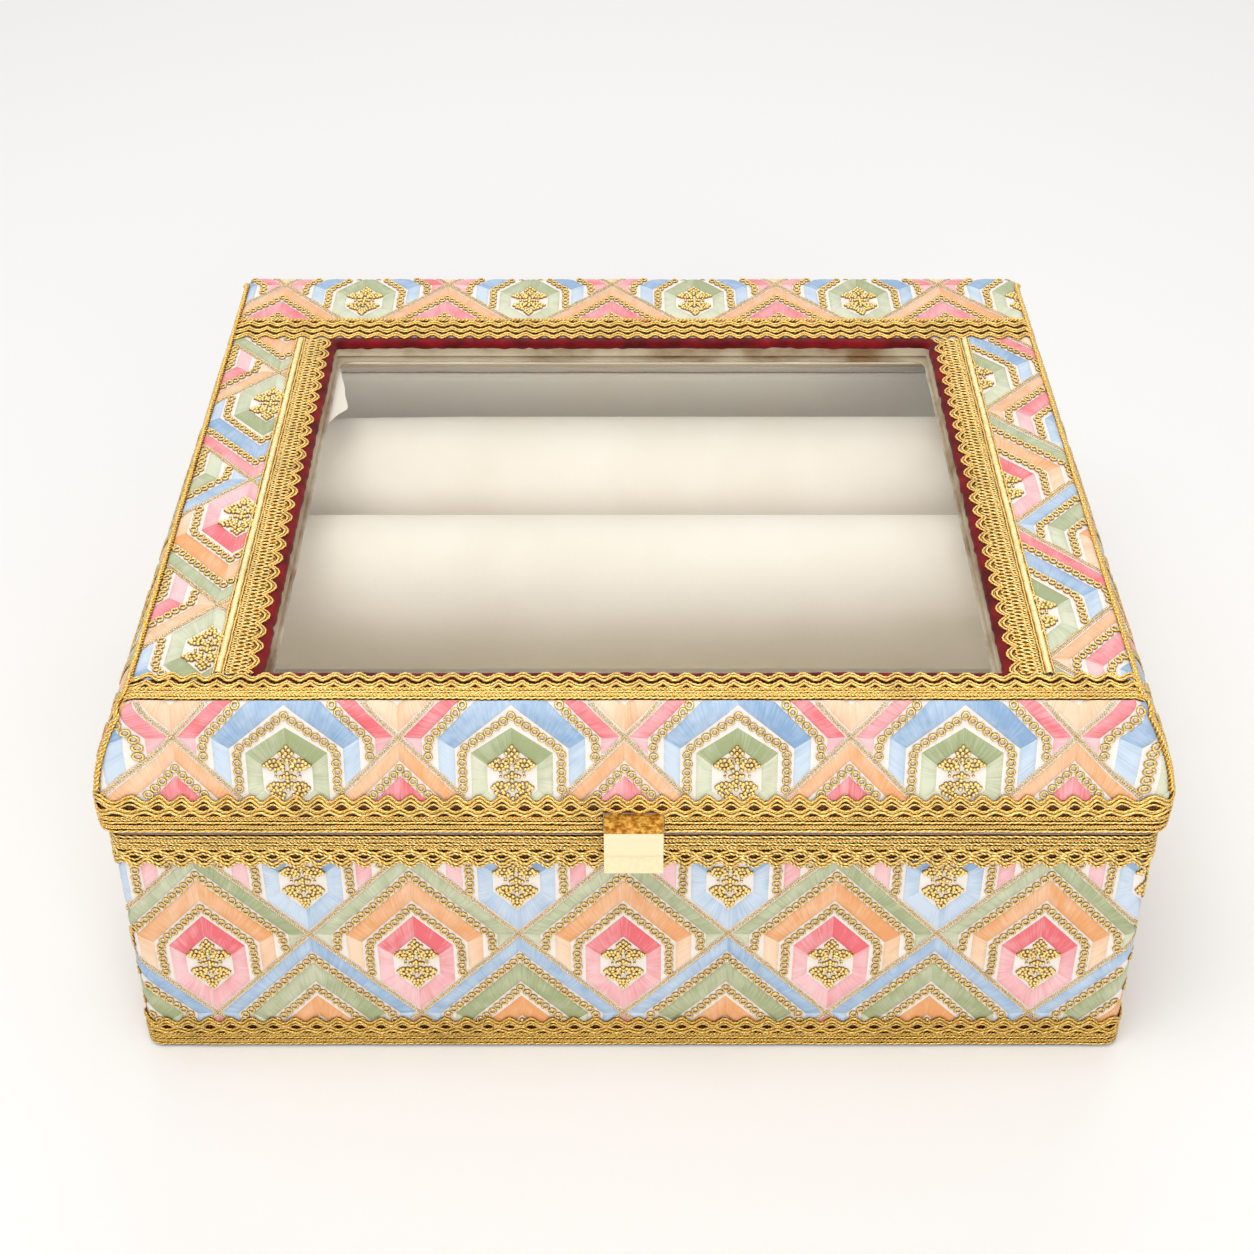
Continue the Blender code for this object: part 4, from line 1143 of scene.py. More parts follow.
    def gilt(self, name: str) -> bpy.types.Object:
        """Makes the ring chains and the flowers."""
        draft = MeshDraft()
        for chain in self.cell.chains:
            rings = chain_spots(np.array(chain, float), self.cell.chain_pitch)
            self.scatter(draft, gilt_ring(*self.chain_ring), *self.over_cells(rings), margin=0.6)
        for form, places in flower():
            self.scatter(draft, form, *self.over_cells(places), margin=0.5)
        return draft.piece(name, [Palette.GOLD.material()])

    def over_cells(self, places: Array) -> tuple[Array, Array]:
        """Repeats places over every cell, each with a small error and a turn of its own."""
        local = (places[None] * (self.panel.stretch, 1) + self.spots[:, None]).reshape(-1, 2)
        local = local + self.rng.normal(0, 0.09, local.shape)
        return local, self.rng.uniform(0, TAU, len(local))

    def lines(self, name: str) -> bpy.types.Object:
        """Makes the stitched double lines along the cells' edges."""
        draft = MeshDraft()
        wide, high = self.cell.half_width * self.panel.stretch, self.cell.half_height
        length = math.hypot(wide, high)
        count = round(length / self.stitch_pitch)
        share = (np.arange(count) + 0.5) / count
        form = stitch(*self.stitch_size)
        for mirror in (-1, 1):
            way = np.array([mirror * wide, -high]) / length
            across = np.array([-way[1], way[0]])
            for row in (-1, 1):
                line = np.array([0, high]) + way * (share * length)[:, None] + across * row * 0.36
                local = (line[None] + self.spots[:, None]).reshape(-1, 2)
                local = local + self.rng.normal(0, 0.05, local.shape)
                lean = math.atan2(way[1], way[0]) + row * math.radians(52)
                turns = lean + self.rng.normal(0, 0.12, len(local))
                self.scatter(draft, form, local, turns, self.rng.uniform(0.85, 1.15, len(local)), margin=0.3)
        return draft.piece(name, [Palette.STITCH.material()])


def chain_spots(half: Array, pitch: float) -> Array:
    """Places of the rings of a chain, from its apex down both sides.

    Args:
        half: the right half's line.
        pitch: the distance from ring to ring.

    Returns:
        One row for each ring.
    """
    walk = walked(half)
    right = read_off(np.linspace(0, walk[-1], round(walk[-1] / pitch) + 1), walk, half)
    return np.vstack([right, right[1:] * np.array([-1, 1])])


def gilt_ring(radius: float, tube: float) -> tuple[Array, Array]:
    """A lumpy ring of gold thread that lies on the cloth."""
    turns, sides = 16, 5
    a = np.arange(turns) / turns * TAU
    b = np.arange(sides) / sides * TAU + 0.3
    lump = 1 + 0.14 * np.cos(a * 7)
    out = radius + tube * lump[:, None] * np.cos(b)[None]
    points = np.stack([out * np.cos(a)[:, None], out * np.sin(a)[:, None],
                       0.34 + tube * 1.1 * lump[:, None] * np.sin(b)[None]], -1)
    faces = grid_faces(turns + 1, sides, True) % (turns * sides)
    return points.reshape(-1, 3), faces


def bead(radius: float, height: float) -> tuple[Array, Array]:
    """A small knot of thread, as a dome."""
    sides = 7
    a = np.arange(sides) / sides * TAU
    rows = [np.stack([radius * f * np.cos(a), radius * f * np.sin(a), np.full(sides, g * height)], 1)
            for f, g in ((1.0, 0.05), (0.9, 0.6), (0.5, 0.93))]
    points = np.vstack([*rows, [[0, 0, height]]])
    quads = grid_faces(3, sides, True)
    tris = np.concatenate([quads[:, [0, 1, 2]], quads[:, [0, 2, 3]]])
    cap = at_height(2 * sides + ring_steps(sides), 3 * sides)
    return points, np.concatenate([tris, cap])


def stitch(length: float, radius: float) -> tuple[Array, Array]:
    """A short stitch of gold thread, pointed where it enters the cloth."""
    sides = 5
    a = np.arange(sides) / sides * TAU + 0.2
    ring = np.stack([np.zeros(sides), radius * np.cos(a), 0.36 + radius * np.sin(a)], 1)
    left, right = ring + (-length * 0.3, 0, 0), ring + (length * 0.3, 0, 0)
    points = np.vstack([left, right, [[-length / 2, 0, 0.1], [length / 2, 0, 0.1]]])
    quads = grid_faces(2, sides, True)
    tris = np.concatenate([quads[:, [0, 1, 2]], quads[:, [0, 2, 3]]])
    step = ring_steps(sides)
    ends = [at_height(step[:, ::-1], 2 * sides), at_height(step + sides, 2 * sides + 1)]
    return points, np.concatenate([tris, *ends])


def around(centre: tuple[float, float], reach: tuple[float, float], count: int) -> list[tuple[float, float]]:
    """Places evenly round an oval."""
    turns = [TAU * (k + 0.5) / count for k in range(count)]
    return [(centre[0] + reach[0] * math.cos(a), centre[1] + reach[1] * math.sin(a)) for a in turns]


def flower() -> list[tuple[tuple[Array, Array], Array]]:
    """The gold flower inside each cell: forms, and where each of them lies."""
    bud = [(0, -2.9), (-0.8, -3.9), (0.8, -3.9), (-1.6, -4.9), (0, -4.9), (1.6, -4.9), (-0.8, -5.8),
           (0.8, -5.8), (0, -6.8), (0, -7.8)]
    leaf = [*around((3.5, -8.6), (1.9, 1.45), 10), (2.9, -8.6), (4.1, -8.6), (6.1, -8.8), (1.2, -10.3),
            (1.1, -9.0)]
    low_leaf = [*around((3.2, -15.6), (1.75, 1.1), 9), (3.2, -15.6), (5.5, -15.9), (1.0, -14.5)]
    fan = [(4.6, -17.5), (3.7, -18.1), (2.8, -18.7), (1.9, -19.2), (1.0, -19.6), (2.4, -17.5), (1.3, -18.2)]
    right = [*leaf, *low_leaf, *fan, (0.95, -12.1), (1.8, -12.4), (1.1, -20.6), (0.6, -21.7)]
    middle = [*bud, *((0, y) for y in (-11.4, -12.5, -13.6, -15.2, -16.5, -19.4, -20.7, -22.6))]
    sides = [(way * x, y) for x, y in right for way in (-1, 1)]
    return [
        (bead(0.7, 0.9), np.array(middle + sides, float)),
        (gilt_ring(0.66, 0.3), np.array([(-1.6, -7.2), (1.6, -7.2)], float)),
        (bead(0.45, 0.6), np.array([(-3.3, -12.3), (3.3, -12.3), (-3.2, -11.2), (3.2, -11.2)], float)),
    ]


class Course(Enum):
    """How a strand sways across a lace as it runs along."""

    WAVE = "wave"
    GARLAND = "garland"
    SCALLOP = "scallop"

    def sway(self, phase: Array) -> Array:
        """The sway from -1 to 1, highest at a quarter turn."""
        if self is Course.GARLAND:
            return 1 - 2 * np.abs(np.sin((phase - math.pi / 2) / 2)) ** 0.9
        if self is Course.SCALLOP:
            return 2 * np.abs(np.sin((phase + math.pi / 2) / 2)) ** 0.9 - 1
        return np.sin(phase)


@dataclass(frozen=True)
class Strand:
    """One cord of a lace: its course across the lace's width as it runs along.

    middle, sway, high and radius are in millimetres, middle from the lace's straight edge;
    phase is in turns; dip is how far it rises and sinks, twice in each pitch; twist is
    the length of one turn of its own threads, or none where it is smooth.
    """

    middle: float
    sway: float
    phase: float
    high: float
    radius: float = 0.45
    pitch: float = 6.6
    dip: float = 0.0
    course: Course = Course.WAVE
    twist: float = 1.3
    groove: float = 0.3


def twin(middle: float, sway: float, high: float, gap: float = 1.3, **more: float | Course) -> list[Strand]:
    """A smooth cord and a twisted one side by side, with a thin thread between them."""
    radius = more.pop("radius", 0.52)
    phase = more.pop("phase", 0.0)
    return [
        Strand(middle - gap / 2, sway, phase, high, radius, twist=1.9, groove=0.22, **more),
        Strand(middle, sway, phase, high - 0.3, radius * 0.55, twist=1.2, groove=0.5, **more),
        Strand(middle + gap / 2, sway, phase, high - 0.04, radius * 0.95, twist=1.5, groove=0.4, **more),
    ]


def plait(middle: float, width: float, high: float, count: int = 3, pitch: float = 4.2,
          **more: float | Course) -> list[Strand]:
    """A flat plait of a few strands."""
    return [Strand(middle, width / 2, k / count, high, pitch=pitch, dip=0.24, **more) for k in range(count)]


class LaceStyle(Enum):
    """The laces on the box, each a list of strands across its width."""

    RIM = (Strand(0.62, 0.05, 0.0, 0.66, 0.5, 2.0, twist=2.2, groove=0.4),
           *plait(2.0, 0.9, 0.7, radius=0.3, pitch=3.1), Strand(3.4, 0.05, 0.0, 0.66, 0.48, 2.4, twist=2.0,
           groove=0.4), *plait(4.75, 1.0, 0.7, radius=0.3, pitch=3.5),
           *twin(6.9, 0.6, 0.8, phase=0.5), Strand(8.55, 0.85, 0.0, 0.72, 0.42), *twin(10.4, 1.05, 0.95))
    WINDOW_FRONT = (Strand(0.5, 0.05, 0.0, 0.56, 0.46, 2.0, twist=2.0, groove=0.4),
                    *plait(1.8, 0.95, 0.6, radius=0.32, pitch=3.1, groove=0.2),
                    Strand(3.1, 0.05, 0.0, 0.56, 0.46, 2.4, twist=2.0, groove=0.4),
                    *plait(4.3, 0.9, 0.6, radius=0.3, pitch=3.5),
                    *twin(6.5, 1.1, 0.66, course=Course.GARLAND), *twin(9.7, 1.0, 0.72))
    WINDOW_BACK = (*plait(1.0, 1.2, 0.62, radius=0.34), *twin(4.0, 0.9, 0.66), *twin(8.0, 1.1, 0.68,
                   course=Course.SCALLOP), *twin(12.4, 1.1, 0.72))
    WINDOW_SIDE = (Strand(0.45, 0.05, 0.0, 0.62, 0.4, 1.6, twist=1.6, groove=0.4),
                   Strand(3.3, 0.05, 0.5, 0.62, 0.4, 1.6, twist=1.6, groove=0.4),
                   Strand(4.7, 0.9, 0.0, 0.6, 0.32, 2.4), Strand(4.7, 0.9, 0.5, 0.62, 0.32, 2.4),
                   Strand(6.6, 1.5, 0.25, 0.58, 0.34, 3.65), Strand(6.6, 1.5, 0.75, 0.6, 0.34, 3.65),
                   Strand(8.8, 1.5, 0.0, 0.58, 0.34, 3.65), Strand(8.8, 1.3, 0.5, 0.6, 0.34, 3.65),
                   *twin(10.9, 1.35, 0.7, 1.2, radius=0.45, pitch=7.3, course=Course.SCALLOP))


class Lace:
    """Gold lace laid along a surface."""

    step = 0.36
    sides = 6
    # painted shade: the backing's painted light value, dark between the cords, a little lighter on the
    # window's sides
    backing_shade = 0.1
    side_backing_shade = 0.26

    def __init__(self, style: LaceStyle, place: Place) -> None:
        """Takes the lace's style and the placing of (along, across, high) on the box."""
        self.style = style
        self.place = place

    def run(self, draft: MeshDraft, start: float, end: float, fit: float | None = None,
            above: float = 0.0) -> None:
        """Lays a length of lace on its woven backing.

        Args:
            draft: where it goes.
            start: where it starts along the surface.
            end: where it ends.
            fit: a length that should hold a whole number of waves.
            above: only the strands that stay above this place across the lace are laid.
        """
        strands = [x for x in self.style.value if x.middle - x.sway >= above]
        for strand in strands:
            self.cord(draft, strand, start, end, fit)
        self.backing(draft, self.style.value[-2], start, end, fit, above)

    @staticmethod
    def pitch_of(strand: Strand, fit: float | None) -> float:
        """A strand's pitch, eased so that a whole number fits."""
        return strand.pitch if fit is None else fit / max(1, round(fit / strand.pitch))

    def cord(self, draft: MeshDraft, strand: Strand, start: float, end: float, fit: float | None) -> None:
        """Lays one strand."""
        count = max(4, round((end - start) / self.step))
        s = np.linspace(start, end, count + 1)
        phase = TAU * (s / self.pitch_of(strand, fit) + strand.phase)
        w = strand.middle + strand.sway * strand.course.sway(phase)
        w = w + 0.07 * np.sin(s * 0.37 + strand.middle * 3) + 0.05 * np.sin(s * 1.13 + strand.middle)
        h = strand.high + strand.dip * np.sin(2 * phase)
        self.tube(draft, np.stack([s, w, h], 1), strand.radius, strand.twist, strand.groove)

    def backing(self, draft: MeshDraft, edge: Strand, start: float, end: float, fit: float | None,
                above: float) -> None:
        """Lays the woven backing that the strands are sewn on, scalloped as its edge strand; its dark colour
        is painted shade between the cords.
        """
        count = max(4, round((end - start) / 0.7))
        s = np.linspace(start, end, count + 1)
        phase = TAU * (s / self.pitch_of(edge, fit) + edge.phase)
        far = edge.middle + edge.sway * edge.course.sway(phase)
        share = np.linspace(0, 1, 9)
        near = max(above, 0.25)
        w = near + (far[:, None] - near) * share[None]
        along = np.broadcast_to(s[:, None], w.shape)
        h = 0.34 + 0.05 * np.sin(along * 5.1) * np.sin(w * 4.3) - 0.3 * (np.abs(share - 0.5)[None] > 0.49)
        light = np.full(w.shape, self.side_backing_shade if self.style is LaceStyle.WINDOW_SIDE else self.backing_shade)
        draft.add(self.place(along.ravel(), w.ravel(), h.ravel()), grid_faces(*w.shape)[:, ::-1],
                  np.stack([along, w, light], -1).reshape(-1, 3))

    def tube(self, draft: MeshDraft, path: Array, radius: float, twist: float = 1.3, groove: float = 0.3,
             sides: int | None = None) -> None:
        """Lays a cord along a path of (along, across, high).

        Args:
            draft: where it goes.
            path: the cord's middle line.
            radius: its radius.
            twist: the length of one turn of its two threads.
            groove: how deep the groove between them is, as a share of the radius.
            sides: how many faces go round it.
        """
        sides = sides or self.sides
        tangent = np.gradient(path, axis=0)
        tangent /= np.linalg.norm(tangent, axis=1, keepdims=True)
        flat = np.cross(tangent, (0.0, 0.0, 1.0))
        flat /= np.linalg.norm(flat, axis=1, keepdims=True)
        up = np.cross(flat, tangent)
        walk = walked(path)
        angle = np.arange(sides) / sides * TAU
        lobe = np.cos(2 * angle[None] - TAU * walk[:, None] / twist)
        size = radius * (1 - groove / 2 + groove / 2 * lobe)
        ring = path[:, None] + size[..., None] * (
            np.cos(angle)[None, :, None] * flat[:, None] + np.sin(angle)[None, :, None] * up[:, None])
        # painted light: the top of the cord is painted lighter and its underside darker, and the grooves
        # between its twisted threads darker
        rise = np.sin(angle)[None] * 0.38 + 0.34
        light = rise + (lobe - 0.3) * min(1.2 * groove, 0.36) + 0.12
        thread = together(walk[:, None], (angle * radius)[None], light)
        rows = ring.reshape(-1, 3)
        faces = grid_faces(len(path), sides, True)
        draft.add(self.place(rows[:, 0], rows[:, 1], rows[:, 2]), faces[:, ::-1], thread.reshape(-1, 3))


@dataclass
class BoxFrame:
    """The CAD sizes that the looks are worked out from, and the surfaces made from them."""

    lid: Shell = field(init=False)
    base: Shell = field(init=False)
    top: TopFace = field(init=False)
    side_swell: float = 5.0

    def __post_init__(self) -> None:
        """Reads the frame."""
        lid_low, lid_high = cad_box("lid_cover")
        base_low, base_high = cad_box("base_cover")
        self.lid_rim = float(lid_low[2])
        self.lid_top = float(lid_high[2])
        self.base_foot, self.base_rim = float(base_low[2]), float(base_high[2])
        seam = (self.lid_rim + float(cad_box("base_rim_binding")[1][2])) / 2
        slope = LidShape((0, 0), seam, self.lid_top)
        grown = slope.inset_at(self.lid_rim)
        shape = LidShape((float(lid_high[0]) + grown, float(lid_high[1]) + grown), seam, self.lid_top)
        self.lid = Shell(shape.half, shape.radius, shape.profile(), self.side_swell)
        self.base = self.straight_shell((float(base_high[0]), float(base_high[1])), shape.radius)
        self.top = TopFace(self.lid)
        self.window = cad_box("window_liner")
        self.seam = seam

    def rim_lace_top(self) -> float:
        """How far up the lid's wall the lace on its rim reaches."""
        return (float(cad_box("lid_rim_lace")[1][2]) - self.seam) / math.cos(float(self.lid.tilt[0]))

    def window_plan(self, inset: float = 0.0) -> tuple[Array, Array]:
        """The window's middle and half its size, drawn in by an inset."""
        low, high = self.window
        return (low[:2] + high[:2]) / 2, (high[:2] - low[:2]) / 2 - inset

    def straight_shell(self, half: tuple[float, float], radius: float) -> Shell:
        """An upright shell whose w is the height."""
        rows = np.array([[0, 0, 0, 0, radius, 0], [self.lid_top, 0, 0, self.lid_top, radius, 0]], float)
        return Shell(half, radius, rows)


@dataclass
class ClothCovers:
    """The ground cloth of the base and of the lid, with its turned edges."""

    box: BoxFrame
    step: float = 3.0
    rim_turn: float = 6.6
    foot_turn: float = 5.0
    hole_over: float = 0.3
    under: float = 0.02

    def build(self) -> None:
        """Makes both covers."""
        self.base_cover()
        self.lid_cover()

    def columns(self, shell: Shell) -> Array:
        """Places round a shell: dense in the corners, wider along the sides."""
        fine = shell.walk[np.concatenate([[True], np.diff(shell.walk) < self.step])]
        spots = [shell.walk]
        for g in np.flatnonzero(np.diff(shell.walk) > self.step):
            count = math.ceil((shell.walk[g + 1] - shell.walk[g]) / self.step)
            spots.append(np.linspace(shell.walk[g], shell.walk[g + 1], count + 1)[1:-1])
        return np.unique(np.round(np.concatenate([fine, *spots]), 6))[:-1]

    def base_cover(self) -> None:
        """Wraps the base's walls, turned under at the foot."""
        shell, foot, rim = self.box.base, self.box.base_foot, self.box.base_rim
        s = self.columns(shell)
        levels = np.linspace(foot + 0.15, rim, math.ceil((rim - foot) / self.step) + 1)
        rows = [shell.place(s, np.full(len(s), w), np.full(len(s), -self.under)) for w in levels]
        under = shell.place(s, np.full(len(s), foot), np.full(len(s), -self.foot_turn))
        corner = shell.place(s, np.full(len(s), foot), np.full(len(s), -0.3))
        points = np.concatenate([[under], [corner], rows])
        made = self.sheet_piece("base_cover_cloth", points, s, [-self.foot_turn, 0.0, *levels])
        mount(made, "base", "embroidered_cloth", "base_cover")

    def lid_cover(self) -> None:
        """Covers the lid's walls, ridge and top as far as the window."""
        shell, box = self.box.lid, self.box
        s = self.columns(shell)
        full = np.full(len(s), 1.0)
        edge = box.top.edge
        rim = box.lid_rim - box.seam
        levels = np.concatenate([np.linspace(rim, float(shell.w[1]), 12), shell.w[2:-1]])
        rows = [shell.place(s, w * full, -self.under * full) for w in levels]
        hem = shell.place(s, rim * full, -self.rim_turn * full)
        hem[:, 2] = box.lid_rim - 0.05
        middle, half = box.window_plan(-self.hole_over)
        inner = at_height(middle + read_off(s, shell.walk, shell.core) * half, box.lid_top)
        outer = shell.place(s, edge * full, 0 * full)
        fills = []
        for share in np.linspace(0, 1, 13)[1:]:
            flat = outer + (inner - outer) * share
            flat[:, 2] = box.lid_top
            flat[:, 2] += ripple(flat) - self.under
            fills.append(flat)
        points = np.concatenate([[hem], rows, fills])
        made = self.sheet_piece("lid_cover_cloth", points, s, np.arange(len(points)) * self.step)
        mount(made, "lid", "embroidered_cloth", "lid_cover")
        low, high = box.window

    def sheet_piece(self, name: str, rows: Array, s: Array, levels: Sequence[float]) -> bpy.types.Object:
        """Makes a cloth from rows of points that close round the box."""
        draft = MeshDraft()
        rng = np.random.default_rng(SEED)
        light = 0.75 + 0.1 * rng.standard_normal(len(s)) * 0.2
        draft.grid(rows, closed=True, thread=together(np.array(levels)[:, None], s[None], light[None]))
        return draft.piece(name, [Palette.GROUND.material()])


def fixed_reach(first: float, last: float) -> Reach:
    """Both side edges of a panel that is as wide at every w."""

    def reach(w: Array) -> tuple[Array, Array]:
        """Both edges at w."""
        return np.full_like(w, first), np.full_like(w, last)

    return reach


@dataclass
class EmbroideredPanels:
    """The embroidery on every panel of the box."""

    box: BoxFrame
    tuck: float = 2.4

    def build(self) -> None:
        """Works every panel."""
        for seed, (body, panel) in enumerate(self.panels()):
            work = Embroidery(replace(panel, seed=seed))
            for kind, made in (("satin", work.satin), ("gilt", work.gilt), ("lines", work.lines)):
                mount(made(f"{panel.name}_{kind}"), body, "embroidered_cloth")

    def panels(self) -> list[tuple[str, Panel]]:
        """The panels, each with the body that it rides on."""
        return [*self.base_panels(), *self.lid_walls(), *self.lid_top()]

    def base_panels(self) -> list[tuple[str, Panel]]:
        """One cloth round the base, joined at the middle of the back."""
        base = self.box.base
        low = float(cad_box("base_foot_lace")[1][2]) - self.tuck
        high = float(cad_box("base_top_lace")[0][2]) + self.tuck
        near = base.mid_corner
        far = near + base.half[1] * 2 - base.radius * 2 + base.radius * math.pi / 2
        joint = base.perimeter / 2
        spans = {"front": (-near, near), "right": (near, far), "back_right": (far, joint),
                 "back_left": (-joint, -far), "left": (-far, -near)}
        return [("base", Panel("base_" + name, base.place, low, high, fixed_reach(*span), (-3.0, 48.6), 3))
                for name, span in spans.items()]

    def lid_walls(self) -> list[tuple[str, Panel]]:
        """The front, right and left walls of the lid."""
        lid = self.box.lid
        low = self.box.rim_lace_top() - self.tuck
        ridge = float((lid.w[1] + lid.w[-2]) / 2)
        made = []
        for side, middle, cycle in ((Side.FRONT, (-34.2, 30.7), 1), (Side.RIGHT, (12.0, 30.7), 1),
                                    (Side.LEFT, (-8.0, 30.7), 3)):
            high = float(lid.w[-2]) - 0.4 if side is Side.FRONT else ridge
            made.append(("lid", Panel("lid_wall_" + side.name.lower(), lid.on_side(side), low, high,
                                      lid.ends(side), middle, cycle, 0.0, 1.016, cell=flatter_cell())))
        return made

    def lid_top(self) -> list[tuple[str, Panel]]:
        """The strips beside the window, and the back strip that runs down the back wall."""
        box, top, lid = self.box, self.box.top, self.box.lid
        out_x = top.flat[0] + top.over * 0.6
        side_in = float(cad_box("window_lace_right")[1][0]) - self.tuck
        front = float(cad_box("window_lace_front")[1][1]) - self.tuck
        back_low, back_high = (float(c[1]) for c in cad_box("window_lace_back"))
        back_end = top.back + top.edge - (box.rim_lace_top() - self.tuck)
        split = top.back + top.over / 2

        def down_back(u: Array, y: Array, h: Array) -> Array:
            """Points on the back wall, as the top's strip runs on down it."""
            return lid.on_side(Side.BACK)(-u, top.edge - (y - top.back), h)

        def back_reach(y: Array) -> tuple[Array, Array]:
            """The back wall's two ends at y."""
            far = lid.reach(Side.BACK, top.edge - (y - top.back))
            return -far, far

        return [
            ("lid", Panel("lid_top_left", top.place, front, back_low + self.tuck,
                          fixed_reach(-out_x, -side_in), (-122.4, 25.9), 1, 180.0)),
            ("lid", Panel("lid_top_right", top.place, front, back_low + self.tuck,
                          fixed_reach(side_in, out_x), (118.0, 0.1), 3)),
            ("lid", Panel("lid_top_back", top.place, back_high - self.tuck, split, fixed_reach(-out_x, out_x),
                          (-37.6, 123.4), 1, 0.0, 0.97)),
            ("lid", Panel("lid_wall_back", down_back, split, back_end, back_reach,
                          (-37.6, 123.4), 1, 0.0, 0.97)),
        ]


@dataclass
class LaceTrim:
    """Every length of gold lace, and the cords on the lid's edges."""

    box: BoxFrame

    def build(self) -> None:
        """Lays all laces."""
        self.rings()
        self.window()
        self.edge_cords()

    def sides_of(self, shell: Shell) -> dict[str, tuple[float, float]]:
        """The stretch of each side, from the middle of one corner to the next."""
        ends = {}
        for side in Side:
            reach = float(shell.half[side.value % 2]) - shell.radius + shell.radius * math.pi / 4
            ends[side.name.lower()] = (shell.side_middle(side) - reach, shell.side_middle(side) + reach)
        return ends

    def rings(self) -> None:
        """Lays the laces at the foot, under the rim and round the lid's rim."""
        base, lid, box = self.box.base, self.box.lid, self.box
        foot_low = float(cad_box("base_foot_lace")[0][2])
        top_high = float(cad_box("base_top_lace")[1][2])
        rim_low = float(cad_box("lid_rim_lace")[0][2]) - box.seam
        laces = (
            ("base_foot_lace", base, "base", foot_low - 0.5, 1),
            ("base_top_lace", base, "base", top_high + 0.05, -1),
            ("lid_rim_lace", lid, "lid", rim_low - 0.05, 1),
        )
        for node, shell, body, begin, way in laces:
            # the foot lace takes the darker copy, as painted shade
            finish = Palette.SHADED_FOOT_LACE if node == "base_foot_lace" else Palette.LACE
            for name, (start, end) in self.sides_of(shell).items():
                for number, (first, last, above) in enumerate(self.gaps(node, shell, name, start, end)):
                    draft = MeshDraft()
                    lace = Lace(LaceStyle.RIM, shell.start_at(begin, way))
                    lace.run(draft, first, last, shell.perimeter, above)
                    if way < 0:
                        for k in (3, 4):
                            draft.faces[k] = [f[:, ::-1] for f in draft.faces[k]]
                    draft.mount(f"{node}_{name}_{number}", finish, body, "gold_lace", node)

    def gaps(self, node: str, shell: Shell, side: str, start: float, end: float) -> list[tuple]:
        """Splits a side's lace where the hinges and the clasp sit.

        Args:
            node: the lace's CAD node.
            shell: the surface that it lies on.
            side: the side's name.
            start: where the side starts round the outline.
            end: where it ends.

        Returns:
            Start, end and the lowest place across the lace, for each length.
        """
        if side == "back" and node != "base_foot_lace":
            low, high = cad_box("hinge_leaf_lid_right")
            middle, reach = float(low[0] + high[0]) / 2, float(high[0] - low[0]) / 2 + 0.4
            centre = shell.side_middle(Side.BACK)
            edges = [start, centre - middle - reach, centre - middle + reach, centre + middle - reach,
                     centre + middle + reach, end]
            return [(a, b, 0.0) for a, b in zip(edges[::2], edges[1::2])]
        if side == "front" and node == "lid_rim_lace":
            low, high = cad_box("clasp_tab")
            left, right = float(low[0]) - 0.4, float(high[0]) + 0.4
            clear = float(high[2] - cad_box(node)[0][2]) + 0.2
            return [(start, left, 0.0), (left, right, clear), (right, end, 0.0)]
        return [(start, end, 0.0)]

    def window(self) -> None:
        """Lays the four laces round the window."""
        top = self.box.top
        front_low, front_high = cad_box("window_lace_front")
        back_low, back_high = cad_box("window_lace_back")
        outer = cad_box("window_lace_right")[1][0]
        out = top.flat[0] + top.over * 0.55

        def front(s: Array, w: Array, h: Array) -> Array:
            """Along the front, w towards the window."""
            return top.place(s, front_low[1] + w, h)

        def back(s: Array, w: Array, h: Array) -> Array:
            """Along the back, w towards the window."""
            return top.place(-s, back_high[1] - w, h)

        def right(s: Array, w: Array, h: Array) -> Array:
            """Along the right, w towards the window."""
            return top.place(outer - w, s, h)

        def left(s: Array, w: Array, h: Array) -> Array:
            """Along the left, w towards the window."""
            return top.place(-outer + w, -s, h)

        runs = (
            ("window_lace_front", LaceStyle.WINDOW_FRONT, front, -out, out),
            ("window_lace_back", LaceStyle.WINDOW_BACK, back, -out, out),
            ("window_lace_right", LaceStyle.WINDOW_SIDE, right, front_high[1], back_low[1] + 1.0),
            ("window_lace_left", LaceStyle.WINDOW_SIDE, left, -back_low[1] - 1.0, -front_high[1]),
        )
        for node, style, place, start, end in runs:
            draft = MeshDraft()
            lace = Lace(style, place)
            lace.run(draft, float(start), float(end))
            draft.mount(node + "_cords", Palette.LACE, "lid", "gold_lace", node)
            if style is LaceStyle.WINDOW_SIDE:
                satin = MeshDraft()
                along = np.arange(float(start), float(end), 0.6)
                path = np.stack([along, 1.87 + 0.06 * np.sin(along * 0.9), np.full(len(along), 0.42)], 1)
                lace.tube(satin, path, 1.0, 60.0, 0.04, 12)
                satin.mount(node + "_satin_cord", Palette.SATIN_CORD, "lid", "gold_lace")

